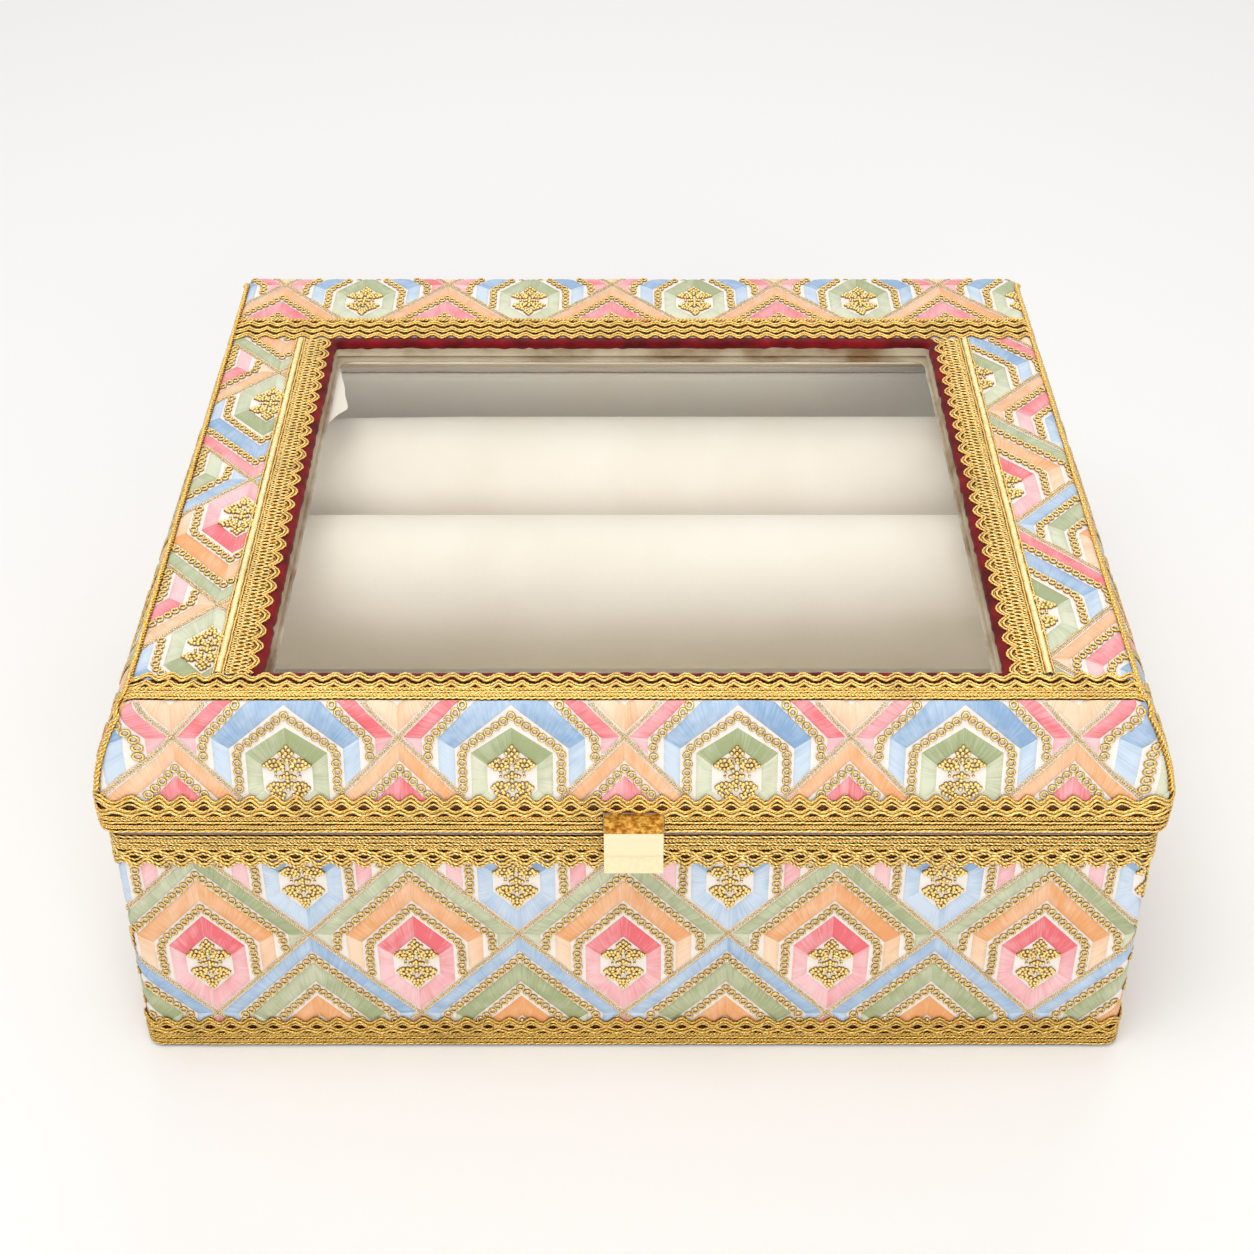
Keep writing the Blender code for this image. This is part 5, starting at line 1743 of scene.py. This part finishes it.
    def edge_cords(self) -> None:
        """Lays a rope along each side of the top, and down the corners to the rim's lace."""
        box, lid = self.box, self.box.lid
        low_w = box.rim_lace_top()
        ridge_w = float(lid.w[1] + (lid.w[-2] - lid.w[1]) * 0.45)
        for side in (Side.LEFT, Side.RIGHT):
            name = side.name.lower()
            centre = lid.side_middle(side)
            reach = float(lid.half[1]) - lid.radius
            corner = reach + lid.radius * math.pi / 4
            wall_w = float(lid.w[1])
            leg = [(-corner, w) for w in np.linspace(low_w, wall_w - 1.0, 24)]
            ease = [(-corner + (corner - reach + 4) * t,
                     wall_w - 1.0 + (ridge_w - wall_w + 1.0) * math.sin(t * math.pi / 2))
                    for t in np.linspace(0, 1, 10)[1:]]
            run = leg + ease
            back = [(-a, w) for a, w in reversed(run)]
            between = [(a, ridge_w) for a in np.linspace(run[-1][0], back[0][0], 120)[1:-1]]
            path = np.array(run + between + back)
            walk = walked(path)
            even = np.arange(0, walk[-1], 0.4)
            s, w = read_off(even, walk, path).T
            draft = MeshDraft()
            rope = Lace(LaceStyle.RIM, lid.place)
            for k in range(3):
                turn = TAU * (even / 4.4 + k / 3)
                tangent = np.gradient(np.stack([s, w], 1), axis=0)
                tangent /= np.linalg.norm(tangent, axis=1, keepdims=True)
                off = 0.45 * np.cos(turn)
                strand = np.stack([s + centre - tangent[:, 1] * off, w + tangent[:, 0] * off,
                                   0.85 + 0.45 * np.sin(turn)], 1)
                rope.tube(draft, strand, 0.5, 1.6)
            node = "lid_edge_cord_" + name
            draft.mount(node + "_rope", Palette.LACE, "lid", "gold_lace", node)


@dataclass
class Window:
    """The window's velvet edge, the glass, its tape and a loose corner of lining."""

    box: BoxFrame
    tape_shows: float = 1.9
    tape_radius: float = 5.0
    pucker_pitch: float = 2.2
    wander_pitch: float = 7.0
    velvet_run: tuple[tuple[float, float], ...] = (
        (4.0, 0.0), (3.6, 0.32), (1.6, 0.4), (0.7, 0.36), (0.15, 0.1), (-0.2, -0.4), (-0.34, -0.9),
        (-0.36, -1.4), (-0.3, -1.75), (-0.1, -1.95), (0.3, -2.0))
    loose_fold: float = -110.5
    loose_edge: tuple[tuple[float, float], ...] = ((33.0, -106.8), (52.8, -98.6), (80.3, -104.2))
    loose_flat: tuple[float, float] = (0.049, 0.012)
    edge_run: tuple[tuple[float, float], ...] = ((0.3, -1.5), (0.0, -1.8), (-0.06, -3.0), (-0.08, -4.2),
                                                 (-0.6, -4.62))

    def build(self) -> None:
        """Makes the window's parts."""
        self.liner()
        self.tape()
        self.loose_corner()
        dress_node("glass_pane", Palette.GLASS)

    def loop(self, inset: float, radius: float, step: float = 1.5) -> tuple[Array, Array]:
        """Points and outward directions round a rounded rectangle inside the window's edge."""
        middle, half = self.box.window_plan(inset)
        path = self.box.straight_shell((half[0], half[1]), radius)
        s = (np.arange(0, path.perimeter, step) - path.walk[0]) % path.perimeter + path.walk[0]
        core, normal = (read_off(s, path.walk, known) for known in (path.core, path.normal))
        normal /= np.linalg.norm(normal, axis=1, keepdims=True)
        return middle + core * (half - radius) + radius * normal, normal

    def liner(self) -> None:
        """Rolls red velvet over the cut edge of the window, and lays stained tape down the cut."""
        top, step = self.box.window[1][2], 0.8
        points, out = self.loop(0.2, 1.6, step)
        rng = np.random.default_rng(SEED)
        length = len(points) * step + 6
        pucker = np.interp(np.arange(len(points)) * step, np.arange(0, length, self.pucker_pitch),
                           rng.normal(0, 0.12, math.ceil(length / self.pucker_pitch)))
        rows = []
        for k, (away, down) in enumerate(self.velvet_run):
            fold = pucker * (0.3 if k < 4 else 1.0) * (1 if k < len(self.velvet_run) - 1 else 0)
            level = at_height(points + out * (away + fold)[:, None], top + down)
            if down >= 0:
                level[:, 2] += ripple(level)
            elif down < -1:
                level[:, 2] += pucker * 1.2
            rows.append(level)
        grid_piece("window_liner_velvet", rows, Palette.RED, "lid", "red_velvet", "window_liner")
        rows = [at_height(points + out * away, top + down) for away, down in self.edge_run]
        grid_piece("window_edge_tape", rows, Palette.TAPE, "lid", "glazing_tape")

    def tape(self) -> None:
        """Lays the glazing tape under the glass, with rounded corners and an uneven edge."""
        low, high = cad_box("glazing_tape")
        step, pitch = 1.2, self.wander_pitch
        points, out = self.loop(self.tape_shows, self.tape_radius, step)
        rng = np.random.default_rng(SEED + 1)
        walk = np.arange(len(points)) * step
        wander = np.interp(walk, np.arange(0, walk[-1] + 20, pitch),
                           rng.normal(0, 0.14, math.ceil((walk[-1] + 20) / pitch)))
        inner = points - out * wander[:, None]
        outer = np.clip(points + out * 12, low[:2], high[:2])
        rows = [at_height(flat, z) for flat, z in (
            (outer, low[2]), (inner, low[2]), (inner - out * 0.05, low[2] + 0.25),
            (inner, high[2]), (outer, high[2]))]
        grid_piece("glazing_tape_frame", rows, Palette.TAPE, "lid", "glazing_tape", "glazing_tape")

    def loose_corner(self) -> None:
        """A corner of lining cloth that has come loose at the back left and hangs into view."""
        top = float(cad_box("lid_top_lining")[0][2]) - 0.15
        glued = self.loose_fold
        turns_y, turns_x = zip(*self.loose_edge)
        y = np.linspace(turns_y[0], turns_y[-1], 26)
        free = np.interp(y, turns_y, turns_x) + 0.15 * np.sin(y * 0.5)
        share = np.linspace(0, 1, 9)
        x = glued + (free[:, None] - glued) * share[None]
        droop = 0.9 * np.clip(x + 105.0, 0, None) ** 1.4 / 6 + 0.12 * np.sin(y[:, None] * 0.4) * share
        points = np.stack([x, np.broadcast_to(y[:, None], x.shape), top - droop], -1)
        made = grid_piece("loose_lining_corner", points, Palette.PAD, "lid", "cream_velvet", closed=False)


@dataclass
class Linings:
    """The cream linings of the base and the lid, the rim's binding and the floor pad."""

    box: BoxFrame
    thick: float = 1.3
    board_turn: float = 2.0
    hole_hem: tuple[tuple[float, float], ...] = (
        (-0.25, 0.4), (-0.3, 0.75), (0.1, 0.97), (1.0, 1.0), (3.5, 1.0))

    def build(self) -> None:
        """Makes the linings."""
        self.floor_pad()
        self.binding()
        self.base_walls()
        self.lid_walls()
        self.lid_top()

    def hung_cloth(self, name: str, shell: Shell, levels: Array, turn: float, body: str, node: str) -> None:
        """A lining glued to the inside of four walls, its edge at the rim turned outward.

        Args:
            name: the piece's name.
            shell: the inner face of the lining.
            levels: the distances up the shell, from the hidden edge to the turned one.
            turn: how far the last edge is turned outward.
            body: the body that it rides on.
            node: the CAD node that it stands for.
        """
        s = ClothCovers(self.box).columns(shell)
        full = np.ones(len(s))
        soft = 0.18 * np.sin(s * 0.11) * np.sin(s * 0.031 + 1.0)
        rows = [shell.place(s, w * full, -soft * np.sin(math.pi * k / len(levels)) ** 2 + 0.15)
                for k, w in enumerate(levels)]
        proud = math.copysign(0.1, levels[-1] - levels[0])
        rows.append(shell.place(s, levels[-1] * full, turn * 0.5 * full) + (0, 0, proud))
        rows.append(shell.place(s, levels[-1] * full, (turn + 0.3) * full) + (0, 0, proud * 0.6))
        made = grid_piece(name, rows, Palette.LINING, body, "cream_velvet", node,
                          flip=bool(levels[-1] > levels[0]))

    def base_walls(self) -> None:
        """Lines the inside of the base."""
        low, high = cad_box("base_wall_lining")
        shell = self.box.straight_shell((float(high[0]) - self.thick, float(high[1]) - self.thick), 0.8)
        levels = np.linspace(float(low[2]) + 0.1, float(high[2]) + 0.7, 26)
        self.hung_cloth("base_wall_lining_cloth", shell, levels, self.thick, "base", "base_wall_lining")

    def lid_walls(self) -> None:
        """Lines the inside of the lid's walls."""
        low, high = cad_box("lid_wall_lining")
        shape = LidShape((float(high[0]) - self.thick, (float(high[1]) - float(low[1])) / 2 - self.thick),
                         self.box.seam, self.box.lid_top, radius=0.8, ridge=0.5)
        shell = Shell(shape.half, shape.radius, shape.profile())
        scale = math.cos(float(shell.tilt[0]))
        foot = float(low[2] - self.box.seam) / scale
        levels = np.linspace(float(high[2] - self.box.seam) / scale - 0.15, foot + 0.1, 14)
        self.hung_cloth("lid_wall_lining_cloth", shell, levels, self.thick, "lid", "lid_wall_lining")

    def lid_top(self) -> None:
        """Lines the underside of the lid's top, turned up round the window."""
        low, high = cad_box("lid_top_lining")
        middle, half = (low + high) / 2, (high - low) / 2
        edge = np.linspace(-1, 1, 40, endpoint=False)
        ones = np.ones(len(edge))
        walk = np.concatenate([np.stack(pair, 1) for pair in (
            (edge, -ones), (ones, edge), (-edge, ones), (-ones, -edge))])
        outer = middle[:2] + walk * (half[:2] - 0.2)
        hole_middle, hole_half = self.box.window_plan(1.2)
        inner = hole_middle + walk * hole_half
        rows = []
        for share in np.linspace(0, 1, 13):
            flat = outer + (inner - outer) * share
            sag = 0.12 * np.sin(flat[:, 0] * 0.09) * np.sin(flat[:, 1] * 0.11) * math.sin(math.pi * share)
            rows.append(at_height(flat, low[2] + 0.15 + sag))
        thick = float(high[2] - low[2])
        for away, up in self.hole_hem:
            rows.append(at_height(hole_middle + walk * (hole_half + away), low[2] + thick * up))
        made = grid_piece("lid_top_lining_cloth", rows, Palette.LINING, "lid", "cream_velvet",
                          "lid_top_lining", flip=True)

    def floor_pad(self) -> None:
        """A thin velvet pad that crowns a little, drawn down at its edge."""
        low, high = cad_box("floor_pad")
        columns, rows = 60, 52
        u, v = np.linspace(-1, 1, columns), np.linspace(-1, 1, rows)
        uu, vv = np.meshgrid(np.sign(u) * np.abs(u) ** 0.7, np.sign(v) * np.abs(v) ** 0.7)
        edge = np.minimum((1 - np.abs(uu)) * (high[0] - low[0]) / 2,
                          (1 - np.abs(vv)) * (high[1] - low[1]) / 2)
        rise = np.clip(edge / 4, 0, 1) ** 0.5
        middle, half = (low + high) / 2, (high - low) / 2
        z = low[2] + 0.5 + (high[2] - low[2] - 0.5) * rise
        z = z + 0.08 * np.sin(uu * 17) * np.sin(vv * 13) * rise
        top = np.stack([middle[0] + uu * half[0], middle[1] + vv * half[1], z], -1).reshape(-1, 3)
        bottom = top.copy()
        bottom[:, 2] = low[2]
        draft = MeshDraft()
        draft.grid(top.reshape(rows, columns, 3))
        draft.grid(bottom.reshape(rows, columns, 3), flip=True)
        ring = np.concatenate([np.arange(columns), np.arange(1, rows) * columns + columns - 1,
                               (rows - 1) * columns + np.arange(columns - 1)[::-1],
                               np.arange(1, rows - 1)[::-1] * columns])
        draft.grid(np.stack([top[ring], bottom[ring]]), closed=True, flip=True)
        made = draft.mount("floor_pad_velvet", Palette.FLOOR_NAP, "base", "cream_velvet", "floor_pad")

    def binding(self) -> None:
        """Red velvet over the base's rim, its edge just proud of the cover."""
        low, high = cad_box("base_rim_binding")
        shell = self.box.base
        s = ClothCovers(self.box).columns(shell)
        full = np.ones(len(s))
        thick = float(high[2] - low[2])
        profile = ((-5.9, 0.0), (-5.9, thick), (-3.6, thick + 0.02), (0.1, thick), (0.75, thick * 0.55),
                   (0.3, -0.25), (-0.5, -0.3))
        rows = [shell.place(s, (float(low[2]) + up) * full, out * full) for out, up in profile]
        made = grid_piece("base_rim_binding_velvet", rows, Palette.RED, "base", "red_velvet",
                          "base_rim_binding", flip=True)
        width = sum(math.dist(a, b) for a, b in zip(profile, profile[1:])) + 2.0


@dataclass
class Roll:
    """A padded roll for bangles: velvet over wadding, drawn in at both ends."""

    name: str
    rings: int = 64
    around: int = 56
    frames: int = 14
    filling: tuple[tuple[str, object], ...] = (
        ("quality", 5), ("mass", 0.3), ("use_pressure", True), ("uniform_pressure_force", 4.0),
        ("shrink_min", -0.006), ("tension_stiffness", 40), ("compression_stiffness", 30),
        ("bending_stiffness", 6), ("vertex_group_mass", "held_ends"))

    def build(self) -> None:
        """Makes the pad, and dresses the discs and the dowel."""
        low, high = cad_box(self.name + "_pad")
        middle, half = (low + high) / 2, (high - low) / 2
        radius, length = float(half[1]), float(half[0])
        x = np.sin(np.linspace(-math.pi / 2, math.pi / 2, self.rings)) * length
        share = np.abs(x) / length
        shape = np.interp(share, (0, 0.35, 0.7, 0.9, 0.95, 0.975, 0.99, 1.0),
                          (1.0, 1.0, 1.0, 0.997, 0.988, 0.96, 0.89, 0.76)) * radius
        angle = np.arange(self.around) / self.around * TAU
        rng = np.random.default_rng(SEED + len(self.name))
        rows = together(x[:, None], middle[1] + shape[:, None] * np.cos(angle)[None],
                        middle[2] + shape[:, None] * np.sin(angle)[None])
        rows[..., 1:] += rng.normal(0, 0.05, rows[..., 1:].shape)
        draft = MeshDraft()
        draft.grid(rows, closed=True)
        step = ring_steps(self.around)
        for end in (0, self.rings - 1):
            hub = np.array([[x[end], middle[1], middle[2]]])
            tri = at_height(step if end else step[:, ::-1], self.around)
            draft.add(np.vstack([rows[end], hub]), tri)
        made = draft.piece(self.name + "_pad_velvet", [Palette.PAD.material()])
        self.settle(made, radius, middle)
        mount(made, self.name, "cream_velvet", self.name + "_pad")
        for side in ("left", "right"):
            self.disc(f"{self.name}_end_disc_{side}")
        dress_node(self.name + "_dowel", Palette.BEECH)

    def disc(self, node: str) -> None:
        """Draws velvet over the card disc at one end, gathered round the dowel."""
        low, high = cad_box(node)
        middle, radius, thick = (low + high) / 2, float(high[1] - low[1]) / 2, float(high[0] - low[0])
        hole = float(np.ptp(np.array(cad_box(self.name + "_dowel"))[:, 1])) / 2 + 0.3
        outward = math.copysign(1.0, middle[0])
        inner = float(min(abs(low[0]), abs(high[0])))
        profile = ((0.0, hole), (0.0, radius - 0.5), (0.12, radius - 0.12), (0.45, radius),
                   (thick - 0.5, radius), (thick - 0.12, radius - 0.15), (thick + 0.05, radius - 0.7),
                   (thick + 0.25, radius * 0.8), (thick + 0.2, radius * 0.62), (thick, hole + 1.2),
                   (thick - 0.4, hole + 0.3), (thick - 0.7, hole), (0.0, hole))
        angle = np.arange(128) / 128 * TAU
        pleat = np.sin(angle * 26 + 0.8 * np.sin(angle * 3))
        rows = []
        for along, reach in profile:
            drawn = 0.09 * (1 - (reach - hole) / (radius - hole)) * (along > thick / 2) * pleat
            rows.append(np.stack([outward * (inner + along + drawn), middle[1] + reach * np.cos(angle),
                                  middle[2] + reach * np.sin(angle)], 1))
        grid_piece(node + "_velvet", rows, Palette.PAD, self.name, "cream_velvet", node, flip=outward < 0)

    def settle(self, pad: bpy.types.Object, radius: float, middle: Array) -> None:
        """Fills the pad with Blender's cloth under pressure, held at both ends.

        Args:
            pad: the pad's object.
            radius: the furthest that its cloth may stand from the roll's axis.
            middle: the roll's middle.
        """
        rest = np.array([v.co for v in pad.data.vertices])
        ends = [i for i, p in enumerate(rest) if abs(p[0]) > abs(rest[:, 0]).max() * 0.985]
        group = pad.vertex_groups.new(name="held_ends")
        group.add(ends, 1.0, "REPLACE")
        cloth = pad.modifiers.new("filling", "CLOTH")
        for key, value in self.filling:
            setattr(cloth.settings, key, value)
        cloth.settings.effector_weights.gravity = 0
        cloth.point_cache.frame_start, cloth.point_cache.frame_end = 1, self.frames
        for number in range(1, self.frames + 1):
            bpy.context.scene.frame_set(number)
        graph = bpy.context.evaluated_depsgraph_get()
        solved = pad.evaluated_get(graph).to_mesh()
        found = np.array([v.co for v in solved.vertices])
        pad.evaluated_get(graph).to_mesh_clear()
        pad.modifiers.remove(cloth)
        bpy.context.scene.frame_set(1)
        centre = middle * MM
        away = found[:, 1:] - centre[1:]
        far = np.linalg.norm(away, axis=1, keepdims=True)
        limit = radius * MM * 1.004
        found[:, 1:] = centre[1:] + away * np.minimum(1, limit / np.maximum(far, 1e-9))
        pad.data.vertices.foreach_set("co", found.astype(np.float32).ravel())
        pad.data.update()


@dataclass
class RestBoard:
    """A notched board wrapped in the lining's velvet, for one end of both rolls."""

    side: str
    flare: float = 0.5
    edge: tuple[tuple[float, float], ...] = ((0.0, 0.6), (0.18, 0.18), (0.6, 0.0))

    def top_run(self, low: Array, high: Array) -> Array:
        """The board's upper outline from front to back, with a notch for each dowel.

        Args:
            low: the board's lowest corner.
            high: its highest corner.

        Returns:
            Rows of y and z.
        """
        run = []
        y = float(low[1])
        for roll in ("front_roll", "back_roll"):
            shaft_low, shaft_high = cad_box(roll + "_dowel")
            centre = (shaft_low + shaft_high) / 2
            reach = float(shaft_high[1] - shaft_low[1]) / 2 + 0.3
            run += [(float(t), float(high[2])) for t in np.linspace(y, centre[1] - reach - self.flare, 12)]
            run += [(float(centre[1] + reach * math.cos(a)), float(centre[2] + reach * math.sin(a)))
                    for a in np.linspace(math.pi, TAU, 17)]
            y = float(centre[1]) + reach + self.flare
        run += [(float(t), float(high[2])) for t in np.linspace(y, high[1], 12)]
        return np.array(run)

    def build(self) -> None:
        """Makes the board."""
        node = "roll_rest_" + self.side
        low, high = cad_box(node)
        top = self.top_run(low, high)
        count = len(top)
        bottom = at_height(top[::-1, 0], float(low[2]))
        loop = np.concatenate([top, bottom])
        along = np.roll(loop, -1, 0) - np.roll(loop, 1, 0)
        inward = np.column_stack([along[:, 1], -along[:, 0]]) / np.linalg.norm(along, axis=1, keepdims=True)
        thick = float(high[0] - low[0])
        levels = [*self.edge, *((thick - t, inset) for t, inset in reversed(self.edge))]
        rows = []
        for t, inset in levels:
            flat = loop + inward * inset
            rows.append(np.column_stack([np.full(len(flat), low[0] + t), flat]))
        draft = MeshDraft()
        draft.grid(np.array(rows), closed=True, flip=True)
        for row, flip in ((rows[0], True), (rows[-1], False)):
            upper, lower = row[:count], row[:count - 1:-1]
            share = np.linspace(0, 1, 9)[:, None, None]
            face = lower[None] + (upper - lower)[None] * share
            swell = 0.12 * np.sin(math.pi * share[..., 0]) * np.sin(face[..., 1] * 0.16 + 0.7)
            face[..., 0] += (-1 if flip else 1) * np.abs(swell)
            draft.grid(face, flip=flip)
        draft.mount(node + "_velvet", Palette.LINING, "base", "cream_velvet", node)


def dress_node(node: str, finish: Finish) -> None:
    """Gives a CAD node a finish."""
    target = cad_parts[node].data.materials
    target.clear()
    target.append(finish.material())


@dataclass
class HardParts:
    """The boards, papers and brass that keep their CAD shape."""

    finishes: tuple[tuple[Finish, tuple[str, ...]], ...] = (
        (Palette.BOARD, ("base_board_front", "base_board_right", "base_board_back", "base_board_left",
                         "lid_board_front", "lid_board_right", "lid_board_back", "lid_board_left",
                         "lid_top_board", "bottom_board")),
        (Palette.PAPER, ("underside_sheet",)),
        (Palette.BRASS, ("catch_plate", "catch_stud", "hinge_leaf_base_left", "hinge_leaf_base_right",
                         "hinge_leaf_lid_left", "hinge_leaf_lid_right", "hinge_pin_left", "hinge_pin_right",
                         "clasp_nail")),
        (Palette.CLASP, ("clasp_tab",)),
    )

    def build(self) -> None:
        """Dresses every hard part."""
        for finish, nodes in self.finishes:
            for node in nodes:
                dress_node(node, finish)
        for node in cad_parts:
            if node.startswith("hinge_nail"):
                dress_node(node, Palette.BRASS)


@dataclass
class Studio:
    """Floor, lamps and camera."""

    camera_place: tuple[float, float, float] = (-0.0019, -0.5791, 0.5011)
    camera_pitch: float = 52.95
    lens: float = 60.86
    floor: float = 6.0
    aim: float = 0.06
    lamps: tuple[tuple[str, tuple[float, float, float], tuple[float, float], float], ...] = (
        ("key_softbox", (-0.25, -0.45, 1.35), (0.8, 0.8), 7.8),
        ("front_softbox", (0.35, -1.5, 0.75), (0.9, 0.5), 6.5),
        ("back_softbox", (0.1, 0.9, 1.25), (1.2, 0.4), 4.0))

    def build(self) -> None:
        """Sets up the studio."""
        scene = bpy.context.scene
        scene.view_settings.view_transform = "Standard"
        self.add_camera()
        self.add_floor()
        self.add_world()
        for lamp in self.lamps:
            self.add_lamp(*lamp)

    def add_camera(self) -> None:
        """Puts the camera where the photograph was taken from."""
        data = bpy.data.cameras.new("camera")
        data.sensor_width = 36.0
        data.lens = self.lens
        data.clip_start, data.clip_end = 0.01, 50.0
        camera = bpy.data.objects.new("camera", data)
        camera.location = self.camera_place
        camera.rotation_euler = (math.radians(self.camera_pitch), 0.0, 0.0)
        bpy.context.scene.collection.objects.link(camera)
        bpy.context.scene.camera = camera

    def add_floor(self) -> None:
        """Lays a white sheet under the box, which keeps the box's shadow."""
        draft = MeshDraft()
        half = self.floor / 2 / MM
        corners = np.array([(x * half, y * half, -0.05) for x, y in ((-1, -1), (1, -1), (1, 1), (-1, 1))])
        draft.add(corners, np.array([[0, 1, 2, 3]]))
        material = bpy.data.materials.new("white_floor")
        material.use_nodes = True
        material.node_tree.nodes.clear()
        s = Shading(material.node_tree)
        sheet = s.node("BsdfDiffuse", {"Color": paint(243, 242, 240)})
        seen = s.ray("Camera", "Transmission")
        glow = s.node("Emission", {"Color": paint(255, 255, 255), "Strength": s.math("MULTIPLY", seen, 0.06)})
        both = s.node("AddShader", {0: sheet.outputs[0], 1: glow.outputs[0]})
        s.node("OutputMaterial", {"Surface": both.outputs[0]})
        draft.piece("studio_floor", [material], smooth=False)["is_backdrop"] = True

    def add_world(self) -> None:
        """Lights the box evenly, with white behind it."""
        world = bpy.data.worlds.new("studio")
        bpy.context.scene.world = world
        world.use_nodes = True
        world.node_tree.nodes.clear()
        s = Shading(world.node_tree)
        strength = s.ramp(s.ray("Camera", "Transmission", "Glossy"), ((0.0, 0.55), (1.0, 1.0)))
        light = s.node("Background", {"Color": paint(255, 255, 255), "Strength": strength})
        s.node("OutputWorld", {"Surface": light.outputs[0]})

    def add_lamp(self, name: str, place: tuple[float, float, float], size: tuple[float, float],
                 power: float) -> None:
        """Hangs a softbox that faces the box.

        Args:
            name: the lamp's name.
            place: where it hangs, in metres.
            size: its width and height in metres.
            power: its power in watts.
        """
        data = bpy.data.lights.new(name, "AREA")
        data.shape = "RECTANGLE"
        data.size, data.size_y = size
        data.energy = power
        lamp = bpy.data.objects.new(name, data)
        lamp.location = place
        towards = -lamp.location
        towards.z += self.aim
        lamp.rotation_euler = towards.to_track_quat("-Z", "Y").to_euler()
        bpy.context.scene.collection.objects.link(lamp)


def main() -> None:
    """Builds the studio and dresses the box, piece by piece."""
    logging.basicConfig(level=logging.INFO, format="%(name)s: %(message)s")
    Studio().build()
    box = BoxFrame()
    ClothCovers(box).build()
    EmbroideredPanels(box).build()
    LaceTrim(box).build()
    Window(box).build()
    Linings(box).build()
    for name in ("back_roll", "front_roll"):
        Roll(name).build()
    for side in ("left", "right"):
        RestBoard(side).build()
    HardParts().build()
    [[list(corner) for corner in found] for found in (CAD_BOUNDS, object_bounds())]


if __name__ == "__main__":
    main()
